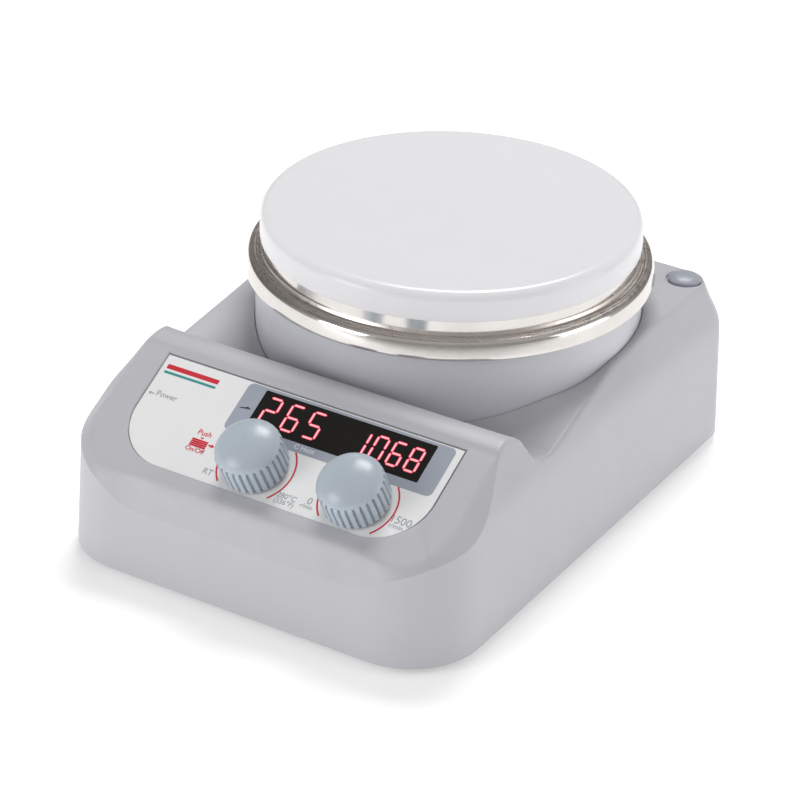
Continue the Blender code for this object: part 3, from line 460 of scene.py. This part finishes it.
def to_outline(x, y):
    """Bend the plain rectangle's points into the round-cornered outline, with their distance from it."""
    radius = np.where(y < 0, FRONT_CORNER, BACK_CORNER)
    a, b = np.abs(x) - (BODY_WIDTH / 2 - radius), np.abs(y) - (BODY_DEPTH / 2 - radius)
    corner = (a > 0) & (b > 0)
    reach = np.maximum(np.maximum(a, b), 1e-9)
    big_a = a >= b
    angle = np.where(big_a, math.pi / 4 * b / np.where(big_a, reach, 1),
                     math.pi / 2 - math.pi / 4 * a / np.where(big_a, 1, reach))
    new_x = np.sign(x) * (BODY_WIDTH / 2 - radius + reach * np.cos(angle))
    new_y = np.sign(y) * (BODY_DEPTH / 2 - radius + reach * np.sin(angle))
    plain = np.minimum(BODY_WIDTH / 2 - np.abs(x), BODY_DEPTH / 2 - np.abs(y))
    return np.where(corner, new_x, x), np.where(corner, new_y, y), np.where(corner, radius - reach, plain)


def smoothstep(low, high, value):
    t = np.clip((value - low) / (high - low), 0, 1)
    return t * t * (3 - 2 * t)


SIDE_LINE = np.array(fillet(SIDE_SECTION, 5))
TROUGH_LINE = np.array(fillet(TROUGH_SECTION, 5))


def housing_height(x, y, inside):
    """Height of the top surface at points that lie a distance inside the outline."""
    rim = np.interp(y, SIDE_LINE[:, 0], SIDE_LINE[:, 1])
    lean = np.interp(rim, LEAN_HEIGHTS, LEANS)
    edge = BODY_WIDTH / 2 - lean
    across = np.clip((edge - 1 - np.abs(x)) / (edge - 1 - TROUGH_HALF_WIDTH), 0, 1)
    mix = 1 - (1 - across) ** TROUGH_MIX
    z = (1 - mix) * rim + mix * np.interp(y, TROUGH_LINE[:, 0], TROUGH_LINE[:, 1])
    beyond = np.maximum(DECK_EDGE, (BODY_WIDTH / 2 - CREASE_X - lean) / (1 - lean / FRONT_CORNER))
    middle = 1 - smoothstep(*NOSE_X, np.abs(x))
    nose = SHOULDER_CORNER + (SHOULDER_FRONT - SHOULDER_CORNER) * middle
    console = nose + (beyond - nose) * smoothstep(*SIDE_Y, y)
    shoulder = console + (DECK_EDGE - console) * smoothstep(RIDGE_Y, RIDGE_Y + 3, y)
    out = np.clip(shoulder - inside, 0, None)
    bend = np.minimum(out, SHOULDER_FRONT) * middle * (1 - smoothstep(*NOSE_Y, y))
    return z - out * SHOULDER_SLOPE - bend * (FRONT_SLOPE - SHOULDER_SLOPE + FRONT_CURVE * bend)


def housing_solid():
    """The housing's outer form on a fine grid, with leaning walls, closed below."""
    half_w, half_d = BODY_WIDTH / 2, BODY_DEPTH / 2
    columns = [half_w - d for d in EDGE_STEPS] + list(np.arange(0, half_w - 28, 4.0))
    columns = np.array(sorted({round(v, 4) for c in columns for v in (c, -c)}))
    rows = [sign * (half_d - d) for d in EDGE_STEPS for sign in (-1, 1)] + list(np.arange(-75, 76, 2.0))
    rows += [float(y) for y in SIDE_LINE[:, 0]] + [float(y) for y in TROUGH_LINE[:, 0]]
    rows = sorted(y for y in rows if abs(y) <= half_d)
    rows = np.array([y for i, y in enumerate(rows) if i == 0 or y - rows[i - 1] > 0.2])
    column, row = np.meshgrid(columns, rows, indexing="ij")
    x, y, inside = to_outline(column, row)
    z = housing_height(x, y, inside)
    for _ in range(4):
        dx, dy = lean_shift(column, row, z)
        z = housing_height(x + dx, y + dy, inside)
    for _ in range(3):
        middle = z[1:-1, 1:-1]
        around = (z[2:, 1:-1] + z[:-2, 1:-1] + z[1:-1, 2:] + z[1:-1, :-2]) / 4
        z[1:-1, 1:-1] = 0.5 * middle + 0.5 * around
    dx, dy = lean_shift(column, row, z)

    bm = bmesh.new()
    grid = [[bm.verts.new((x[i, j] + dx[i, j], y[i, j] + dy[i, j], z[i, j])) for j in range(len(rows))]
            for i in range(len(columns))]
    last_i, last_j = len(columns) - 1, len(rows) - 1
    for i in range(last_i):
        for j in range(last_j):
            bm.faces.new((grid[i][j], grid[i + 1][j], grid[i + 1][j + 1], grid[i][j + 1]))
    loop = ([(i, 0) for i in range(last_i)] + [(last_i, j) for j in range(last_j)]
            + [(i, last_j) for i in range(last_i, 0, -1)] + [(0, j) for j in range(last_j, 0, -1)])
    ci, cj = np.array([k[0] for k in loop]), np.array([k[1] for k in loop])
    bands = [[grid[i][j] for i, j in loop]]
    for share in (*WALL_STEPS, 0.0):
        height = z[ci, cj] * share
        sx, sy = lean_shift(column[ci, cj], row[ci, cj], height)
        bands.append([bm.verts.new(v) for v in zip(x[ci, cj] + sx, y[ci, cj] + sy, height)])
    for upper, lower in zip(bands, bands[1:]):
        for k in range(len(loop)):
            n = (k + 1) % len(loop)
            bm.faces.new((upper[k], upper[n], lower[n], lower[k]))
    bm.faces.new(bands[-1])
    return bm


def bowl_wall(offset=0.0):
    """The bowl's side and the edge of its floor, moved out by an offset."""
    wall = [(68.8, 80.6), (68.8, 45, 5), (54, 45)]
    return fillet([(p[0] + offset, p[1] - offset * 0.6, *p[2:]) for p in wall], 6)


def panel_outline(clearance=0.0, drop=0.0):
    """The control panel's edge, drawn in by a clearance and moved down the slope."""
    half, bottom, radius = 59.5 - clearance, -42.6 + clearance - drop, 20.0 - clearance
    centre_x, centre_y, top = half - radius, bottom + radius, -clearance - drop
    return ([(half, top), (-half, top)] + arc(-centre_x, centre_y, radius, 180, 270, 24)
            + arc(centre_x, centre_y, radius, 270, 360, 24))


def make_housing():
    """The grey shell: hollow below, with a pocket or hole for each part that sits in it."""
    housing = finish_mesh("housing_shell", housing_solid(), HOUSING_GREY)
    hollow = prism(rounded_rectangle(-75.1, 75.1, -101.1, 101.1, 20), -2, 30)
    edge = panel_outline(-0.4, -0.35)
    panel_pocket = prism(panel_outline(), -1.5, -0.35, [(edge, 0.0), (edge, 8)])
    bowl_room = lathe([(0, 90), (69.1, 90), (69.1, DECK_HEIGHT + 5)] + bowl_wall(0.3)[1:] + [(0, 44.8)], 160)
    cap_seat = lathe([(0, DECK_HEIGHT - 0.9), (6.7, DECK_HEIGHT - 0.9), (6.7, DECK_HEIGHT - 0.35),
                      (7.1, DECK_HEIGHT + 0.05), (7.1, 80), (0, 80)], 96)
    rod = HOUSING @ shift(*ROD)
    probe = HOUSING @ shift(-30, 0, 25)
    tools = [
        (hollow, HOUSING),
        (panel_pocket, PANEL),
        (bowl_room, PLATE),
        (cap_seat, rod),
        (cylinder(4.7, 50, 80), rod),
        (box((6, 102.3, 6.6), (38, 110, 43.4)), HOUSING),            # mains inlet: its flange, then its body
        (box((8.8, 95, 8.7), (35.2, 110, 41.3)), HOUSING),
        (cylinder(7.6, 101.8, 110, 64, True), probe),                # probe socket: its nut, then its barrel
        (cylinder(4.4, 95, 110, 48, True), probe),
        (box((-85, -77, 13), (-76, -55, 37)), HOUSING),              # power switch: its frame, then its body
        (box((-85, -75, 15), (-65, -57, 35)), HOUSING),
    ]
    for x, y in KNOBS.values():
        tools.append((cylinder(BUSH_HOLE, -6, 2, 48), PANEL @ shift(x, y)))
    cut(housing, tools)
    housing.data.shade_smooth()
    housing.data.set_sharp_from_angle(angle=math.radians(33))
    keep(housing, ROOT, ("upper_housing",))


# ---------------------------------------------------------------- control panel

def raised(name, outlines, mat, low=PRINT_LOW, high=PRINT_HIGH):
    """Thin printed shapes: closed outlines in the panel's plane, between two heights."""
    bm = bmesh.new()
    for outline in outlines:
        part = prism(outline, low, high)
        mesh = bpy.data.meshes.new("part")
        part.to_mesh(mesh)
        part.free()
        bm.from_mesh(mesh)
        bpy.data.meshes.remove(mesh)
    keep(finish_mesh(name, bm, mat, PANEL, smooth=False), ROOT)


def ring_strip(cx, cy, radius, width, start, end, steps=60):
    """Outline of an arc with a width."""
    outer = arc(cx, cy, radius + width / 2, start, end, steps)
    return outer + arc(cx, cy, radius - width / 2, end, start, steps)


def lettering(name, words, left, right, middle, mat):
    """A short generic word or number, scaled to span left to right, centred on a height."""
    curve = bpy.data.curves.new(name, "FONT")
    curve.body = words
    curve.resolution_u = 3
    curve.offset = 0.008
    curve.extrude = 0.5
    holder = bpy.data.objects.new(name, curve)
    bpy.context.collection.objects.link(holder)
    bpy.context.view_layer.update()
    mesh = bpy.data.meshes.new_from_object(holder.evaluated_get(bpy.context.evaluated_depsgraph_get()))
    bpy.data.objects.remove(holder)
    points = np.array([v.co for v in mesh.vertices])
    low_corner, high_corner = points.min(0), points.max(0)
    scale = (right - left) / (high_corner[0] - low_corner[0])
    centre = (low_corner + high_corner) / 2
    to_origin = Matrix.Translation((-centre[0], -centre[1], 0))
    shrink = Matrix.Diagonal((scale, scale, PRINT_HIGH - PRINT_LOW, 1)) @ to_origin
    place = Matrix.Translation(((left + right) / 2, middle, (PRINT_LOW + PRINT_HIGH) / 2))
    mesh.transform(PANEL @ Matrix.Scale(MM, 4) @ place @ shrink)
    mesh.materials.clear()
    mesh.materials.append(mat)
    mesh.name = name
    obj = bpy.data.objects.new(name, mesh)
    bpy.context.collection.objects.link(obj)
    keep(obj, ROOT)


SEGMENTS = {"0": "abcdef", "1": "bc", "2": "abged", "5": "afgcd", "6": "afgecd", "8": "abcdefg"}


def bar(x0, y0, x1, y1, half, gap):
    """A pointed bar between two points, as a closed outline."""
    a, b = Vector((x0, y0)), Vector((x1, y1))
    along = (b - a).normalized()
    side = Vector((-along.y, along.x)) * half
    a, b = a + along * gap, b - along * gap
    tip = along * half
    return [tuple(p) for p in (a, a + tip + side, b - tip + side, b, b - tip - side, a + tip - side)]


def digit_bars(character, left, top, width, height, half, gap):
    """The lit bars of one seven-segment digit, whose strokes are centred on its edges."""
    x0, x1, y0, y1 = left, left + width, top - height, top
    middle = (y0 + y1) / 2
    lines = {"a": (x0, y1, x1, y1), "b": (x1, y1, x1, middle), "c": (x1, middle, x1, y0),
             "d": (x0, y0, x1, y0), "e": (x0, middle, x0, y0), "f": (x0, y1, x0, middle),
             "g": (x0, middle, x1, middle)}
    return [bar(*lines[s], half, gap) for s in SEGMENTS[character]]


def make_digits(name, number, lefts, top, width, height):
    """A lit number: red bars with paler, narrower ones on them."""
    for part, mat, half, gap, low, high in (("glow", LED_EDGE, 0.50, 0.14, -0.14, -0.09),
                                            ("core", LED_CORE, 0.24, 0.42, -0.09, -0.07)):
        bars = []
        for character, left in zip(number, lefts):
            bars += digit_bars(character, left, top, width, height, half, gap)
        raised(f"{name}_digits_{part}", bars, mat, low, high)


def make_panel():
    """The white overlay with the display's frame and lens let into it, the lit digits and the print."""
    sheet = prism(panel_outline(0.5, 0.4), SHEET_BACK, PANEL_FACE)
    panel = finish_mesh("panel_overlay", sheet, PANEL_WHITE, PANEL, smooth=False)
    tools = [(prism(rounded_rectangle(-25.2, 56.6, -21.1, -1.2, 2.2), -3, 2), PANEL)]
    for x, y in KNOBS.values():
        tools.append((cylinder(BUSH_HOLE, -3, 2, 48), PANEL @ shift(x, y)))
    cut(panel, tools)
    keep(panel, ROOT, ("control_panel",))
    band = prism(rounded_rectangle(-25.17, 56.57, -21.07, -1.23, 2.2), SHEET_BACK, PANEL_FACE)
    surround = finish_mesh("display_frame", band, SURROUND, PANEL, smooth=False)
    cut(surround, [(prism(rounded_rectangle(-18.0, 49.6, -17.5, -2.2, 0.4, 3), -3, 2), PANEL)])
    keep(surround, ROOT, ("display_surround",))
    pane = prism(rounded_rectangle(-17.97, 49.57, -17.47, -2.23, 0.4, 3), SHEET_BACK, PANEL_FACE)
    lens = finish_mesh("display_lens", pane, WINDOW, PANEL, smooth=False)
    keep(lens, ROOT, ("display_window",))

    make_digits("temperature", "265", (-14.8, -5.9, 2.8), -4.4, 4.7, 10.2)
    make_digits("speed", "1068", (21.7, 28.6, 35.5, 42.4), -5.4, 4.1, 9.0)

    arcs = []
    for x, y in KNOBS.values():
        arcs.append(ring_strip(x, y, 13.9, 0.6, 43, -45))
        arcs.append(ring_strip(x, y, 13.9, 0.6, 137, 225))
    raised("dial_arcs", arcs, INK_RED)
    lettering("power_word", "Power", -54.8, -46.6, -16.3, INK_GREY)
    arrow = [(-58.0, -17.0), (-57.0, -16.3), (-57.0, -16.8), (-55.6, -16.8), (-55.6, -17.2), (-57.0, -17.2),
             (-57.0, -17.7)]
    raised("power_arrow", [arrow], INK_GREY)
    lettering("push_word", "Push", -32.2, -27.0, -25.2, INK_RED)
    raised("push_down_mark", [[(-30.4, -27.0), (-28.8, -27.0), (-29.6, -27.7)]], INK_RED)
    lettering("switch_words", "On/Off", -33.4, -26.0, -32.2, INK_RED)
    tops = [-28.0 - 0.8 * i for i in range(4)]
    bars = [rounded_rectangle(-32.9, -26.5, top - 0.68, top, 0.1, 2) for top in tops]
    raised("heater_mark", bars, INK_RED)
    push = [(-26.0, -29.3), (-25.0, -29.3), (-25.0, -29.8), (-23.6, -29.0), (-25.0, -28.2),
            (-25.0, -28.7), (-26.0, -28.7)]
    raised("push_arrow", [push], INK_RED)
    lettering("low_temperature_word", "RT", -22.4, -18.8, -38.3, INK_GREY)
    lettering("high_temperature", "280°C", 6.8, 14.1, -37.6, INK_GREY)
    lettering("high_temperature_other", "(536°F)", 6.8, 14.3, -40.2, INK_GREY)
    lettering("low_speed", "0", 18.0, 19.7, -36.4, INK_GREY)
    lettering("low_speed_unit", "r/min", 16.3, 21.0, -38.6, INK_GREY)
    lettering("high_speed", "1500", 48.5, 55.8, -32.5, INK_GREY)
    lettering("high_speed_unit", "r/min", 48.7, 53.8, -35.0, INK_GREY)
    probe = [(-23.7, -11.5), (-21.5, -10.95), (-20.9, -10.45), (-20.3, -10.8), (-19.2, -11.2),
             (-20.4, -11.35), (-21.2, -11.45), (-23.6, -11.8)]
    raised("probe_mark", [probe], INK_DARK)
    heat_ring = ring_strip(3.6, -18.9, 0.8, 0.3, 20, 340, 24)
    raised("heat_ring_mark", [heat_ring], INK_WHITE)
    lettering("heat_word", "Heat", 5.3, 10.6, -18.9, INK_WHITE)
    raised("red_band_mark", [rounded_rectangle(-57.2, -36.0, -6.2, -4.4, 0.3, 3)], INK_RED)
    raised("teal_band_mark", [rounded_rectangle(-57.2, -36.0, -8.1, -7.2, 0.3, 3)], INK_TEAL)


# ---------------------------------------------------------------- knobs

KNOB_RADIUS, KNOB_SHOULDER, KNOB_DOME = 11.75, 9.6, 6.7
FLUTES, FLUTE_TOP, FLUTE_DEPTH = 29, 11.3, 1.1
POINTS_PER_FLUTE = 14
KNOB_TURNS = {"temperature": 0.15, "speed": 0.55}          # share of one flute that each knob is turned by


def knob_radius(z):
    """Radius of the knob without its flutes: an upright side under half an ellipse."""
    rise = np.clip((z - KNOB_SHOULDER) / KNOB_DOME, 0, 1)
    return KNOB_RADIUS * math.sqrt(1 - rise * rise)


def knob_solid(phase_shift):
    """A domed knob; narrow flutes run up its side and stop short under the smooth crown."""
    bm = bmesh.new()
    count = FLUTES * POINTS_PER_FLUTE
    turns = 2 * math.pi * (np.arange(count) + phase_shift * POINTS_PER_FLUTE) / count
    # 0 on the middle of a rib, 1 on the middle of a groove
    phase = np.abs((np.arange(count) % POINTS_PER_FLUTE) / POINTS_PER_FLUTE - 0.5) * 2
    groove = smoothstep(0.58, 0.82, phase)
    chain = []

    def ring(radius, z, depth=0.0):
        r = radius - depth * groove
        points = zip(r * np.cos(turns), r * np.sin(turns), np.full(count, z))
        chain.append([bm.verts.new(v) for v in points])

    top = bm.verts.new((0, 0, KNOB_SHOULDER + KNOB_DOME))
    crown_edge = math.asin((FLUTE_TOP + 0.25 - KNOB_SHOULDER) / KNOB_DOME)
    for angle in np.linspace(math.radians(86), crown_edge, 16):
        ring(KNOB_RADIUS * math.cos(angle), KNOB_SHOULDER + KNOB_DOME * math.sin(angle))
    for below, share in ((0.0, 0.35), (0.12, 0.8), (0.4, 1.0), (1.0, 1.0), (1.7, 1.0)):
        ring(knob_radius(FLUTE_TOP - below), FLUTE_TOP - below, FLUTE_DEPTH * share)
    for z in (8.0, 6.0, 4.0, 2.0, 1.15):
        ring(KNOB_RADIUS, z, FLUTE_DEPTH)
    ring(KNOB_RADIUS - 0.45, 0.9, FLUTE_DEPTH * 0.6)
    for radius, z in ((10.2, 0.9), (10.2, 9.0), (5.2, 9.0), (5.2, 1.3), (3.3, 1.3), (3.3, 11)):
        ring(radius, z)
    roof = bm.verts.new((0, 0, 11))
    for one, two in zip(chain, chain[1:]):
        for k in range(count):
            n = (k + 1) % count
            bm.faces.new((one[k], one[n], two[n], two[k]))
    for k in range(count):
        n = (k + 1) % count
        bm.faces.new((top, chain[0][n], chain[0][k]))
        bm.faces.new((roof, chain[-1][k], chain[-1][n]))
    return bm


def make_knobs():
    for name, (x, y) in KNOBS.items():
        solid = knob_solid(KNOB_TURNS[name])
        knob = finish_mesh(f"{name}_dial_knob", solid, KNOB_BLUE, PANEL @ shift(x, y), sharp=50)
        keep(knob, f"{name}_knob", (f"{name}_knob",))


# ---------------------------------------------------------------- plate, ring and bowl

def make_plate():
    """The white plate, the steel ring with its warmer-toned, rougher trough, and the bowl."""
    top, skirt = PLATE_HIGH.z / MM - FOOT / MM, PLATE_LOW.z / MM - FOOT / MM
    radius = (PLATE_HIGH.x - PLATE_LOW.x) / 2 / MM
    under = 93
    plate = fillet([(0, top), (radius, top, 3.6), (radius, skirt, 0.3), (64.6, skirt), (64.6, under),
                    (0, under)], 7)
    disc = finish_mesh("plate_enamelled", lathe(plate, 192), PLATE_WHITE, PLATE)
    keep(disc, ROOT, ("work_plate",))
    ring = fillet([(66.9, 86.65), (66.9, 82.8, 0.3), (67.4, 81.7, 0.3), (68.4, 81.5, 0.4), (69.2, 82.0, 0.8),
                   (70.0, 81.5, 0.5), (71.5, 81.3, 2.5), (72.7, 75.8, 3.0), (72.6, 74.9, 0.4),
                   (72.0, 74.5, 0.3), (70.8, 79.6, 1.5), (69.5, 80.7, 0.5), (66.1, 80.8, 0.3), (66.1, 86.65)],
                  9)
    trim = finish_mesh("trim_ring", lathe(ring, 192), [STEEL, TINTED_STEEL], PLATE)
    # the flange between the band and the lip takes the warmer, rougher steel
    for face in trim.data.polygons:
        radius = math.hypot(face.center.x, face.center.y - PLATE_Y) / MM
        height = (face.center.z - FOOT) / MM
        if 66.95 < radius < 71.2 and height > 81.0:
            face.material_index = 1
    keep(trim, ROOT, ("steel_rim",))
    outside = bowl_wall()
    inside = [(r - 2, z + 1.8) for r, z in reversed(outside[1:])]
    bowl = outside + [(9, 45), (9, 47), (inside[0][0], 47)] + inside[1:] + [(66.8, 80.6)]
    shell = finish_mesh("bowl_shell", lathe(bowl, 160), BOWL_GREY, PLATE)
    keep(shell, ROOT, ("plate_bowl",))


def make_rod_cap():
    deck, top = DECK_HEIGHT, CAP_HIGH.z / MM - FOOT / MM
    dome = fillet([(0, top), (4.6, deck + 1.55, 6), (6.1, deck + 0.35, 1.0), (6.1, deck - 0.6),
                   (4.0, deck - 0.6), (4.0, deck - 9.2, 0.4), (0, deck - 9.6)], 9)
    cap = finish_mesh("rod_port_plug", lathe(dome, 96), CAP_BLUE, HOUSING @ shift(*ROD))
    keep(cap, "rod_cap", ("rod_port_cap",))


# ---------------------------------------------------------------- feet, base and fittings

def make_feet():
    for end in ("front", "back"):
        for side in ("left", "right"):
            node = f"foot_{end}_{side}"
            low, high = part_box(node)
            x, y = (low.x + high.x) / 2, (low.y + high.y) / 2
            top = high.z / MM
            profile = fillet([(0, 0), (5.2, 0), (5.4, 0.35), (6.0, 0.35), (6.2, 0), (7.4, 0, 0.6),
                              (8.5, 0.8, 0.5), (8.5, top, 0.3), (0, top)], 15)
            foot = finish_mesh(f"rubber_{node}", lathe(profile, 64), RUBBER, Matrix.Translation((x, y, 0)))
            keep(foot, ROOT, (node,))


def make_screws():
    for number in range(1, 5):
        low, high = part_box(f"base_screw_{number}")
        x, y = (low.x + high.x) / 2, (low.y + high.y) / 2
        z, top = low.z / MM, high.z / MM
        profile = fillet([(0, z), (2.2, z, 0.8), (3.0, z + 0.7, 0.4), (3.0, z + 1.8), (1.4, z + 1.8),
                          (1.4, top - 0.6), (0.7, top), (0, top)], 15)
        at = Matrix.Translation((x, y, 0))
        screw = finish_mesh(f"cross_screw_{number}", lathe(profile, 48), BRIGHT_STEEL, at)
        cut(screw, [(box((-1.6, -0.28, z - 1), (1.6, 0.28, z + 0.9)), at),
                    (box((-0.28, -1.6, z - 1), (0.28, 1.6, z + 0.9)), at)])
        keep(screw, ROOT, (f"base_screw_{number}",))


def make_fittings():
    bevelled("power_inlet", "inlet_shroud", 0.5, 3, BLACK_PLASTIC)
    bevelled("fuse_drawer", "fuse_drawer_body", 0.35, 3, BLACK_PLASTIC)
    bevelled("power_switch", "switch_frame", 0.4, 3, BLACK_PLASTIC)
    bevelled("power_rocker", "switch_rocker", 0.35, 3, BLACK_PLASTIC, 40)
    for name in ("line", "earth", "neutral"):
        bevelled(f"inlet_pin_{name}", f"contact_pin_{name}", 0.3, 2, BRASS)
    bevelled("base_plate", "base_cover", 0.25, 2, DARK_STEEL, 50)


# CAD nodes whose shape is right keep it and take a finished material
NODE_MATERIALS = {
    "control_board": BOARD_GREEN, "power_board": BOARD_GREEN, "temperature_display": MODULE_RED,
    "speed_display": MODULE_RED, "temperature_encoder": BLACK_PLASTIC, "speed_encoder": BLACK_PLASTIC,
    "temperature_shaft": ALUMINIUM, "speed_shaft": ALUMINIUM, "temperature_plunger": BLACK_PLASTIC,
    "heater_plate": ALUMINIUM, "heating_element": DARK_STEEL, "insulation_disc": CERAMIC,
    "temperature_sensor": BRASS, "plate_standoff_1": CERAMIC, "plate_standoff_2": CERAMIC,
    "plate_standoff_3": CERAMIC, "stirrer_motor": DARK_STEEL, "motor_bracket": ALUMINIUM,
    "motor_shaft": BRIGHT_STEEL, "shaft_collar": BRASS, "magnet_carrier": ALUMINIUM,
    "magnet_left": DARK_STEEL, "magnet_right": DARK_STEEL, "transformer": DARK_STEEL,
    "heater_relay": BLACK_PLASTIC, "fuse": GLASS, "rod_socket": ALUMINIUM, "probe_socket": BRIGHT_STEEL,
    "probe_socket_nut": BRIGHT_STEEL,
}


def finish_cad_nodes():
    for name, mat in NODE_MATERIALS.items():
        mesh = frame["nodes"][name].data
        mesh.materials.clear()
        mesh.materials.append(mat)
        mesh.shade_smooth()
        mesh.set_sharp_from_angle(angle=math.radians(35))


# ---------------------------------------------------------------- stage and light

FLOOR_WHITE, FLOOR_HALF = (0.93, 0.93, 0.93), 4000
SKY_STOPS = ((0.0, 0.5), (0.25, 0.5), (0.45, 0.7), (0.58, 0.65), (0.70, 0.45), (0.80, 0.28), (1.0, 0.24))
LIGHTS = (                                                 # name, azimuth, elevation, distance, size, power
    ("key_light", -162, 62, 1.3, 0.6, 11.0),
    ("front_light", -28, 15, 1.4, 0.65, 6.0),
    ("side_light", 108, 14, 1.5, 0.9, 4.5),
)


def make_floor():
    paper = shader_material("floor_paper", FLOOR_WHITE, 0.9)
    shader = paper.node_tree.nodes["Principled BSDF"]
    shader.inputs["Emission Color"].default_value = (1, 1, 1, 1)
    shader.inputs["Emission Strength"].default_value = 0.35
    vary_colour(paper, FLOOR_WHITE, 3, 0.01)
    outline = rounded_rectangle(-FLOOR_HALF, FLOOR_HALF, -FLOOR_HALF, FLOOR_HALF, 100, 4)
    floor = finish_mesh("floor", prism(outline, -4, 0), paper, Matrix.Identity(4))


def make_sky():
    """A pale studio all round, brighter on one side of the sky than on the other."""
    world = bpy.data.worlds.new("studio")
    bpy.context.scene.world = world
    world.use_nodes = True
    nodes, links = world.node_tree.nodes, world.node_tree.links
    background = nodes["Background"]
    coordinates = nodes.new("ShaderNodeTexCoord")
    facing = nodes.new("ShaderNodeVectorMath")
    facing.operation = "DOT_PRODUCT"
    facing.inputs[1].default_value = -direction(45, -29)
    share = nodes.new("ShaderNodeMapRange")
    share.inputs["From Min"].default_value = -1
    ramp = nodes.new("ShaderNodeValToRGB")
    links.new(coordinates.outputs["Generated"], facing.inputs[0])
    links.new(facing.outputs["Value"], share.inputs["Value"])
    links.new(share.outputs["Result"], ramp.inputs["Fac"])
    links.new(ramp.outputs["Color"], background.inputs["Color"])
    elements = ramp.color_ramp.elements
    while len(elements) < len(SKY_STOPS):
        elements.new(0.5)
    for element, (position, value) in zip(elements, SKY_STOPS):
        element.position = position
        element.color = (value, value * (0.93 + 0.07 * value), value * (0.90 + 0.10 * value), 1)
    background.inputs["Strength"].default_value = 0.7


def make_lights():
    for name, azimuth, elevation, distance, size, power in LIGHTS:
        data = bpy.data.lights.new(name, "AREA")
        data.size = size
        data.energy = power
        light = bpy.data.objects.new(name, data)
        bpy.context.collection.objects.link(light)
        towards = direction(azimuth, elevation)
        light.matrix_world = (Matrix.Translation(Vector((0, 0, 0.05)) + towards * distance)
                              @ towards.to_track_quat("Z", "Y").to_matrix().to_4x4())


make_camera()
make_housing()
make_panel()
make_knobs()
make_plate()
make_rod_cap()
make_feet()
make_screws()
make_fittings()
finish_cad_nodes()
make_floor()
make_sky()
make_lights()
bpy.context.scene.view_settings.view_transform = "Standard"
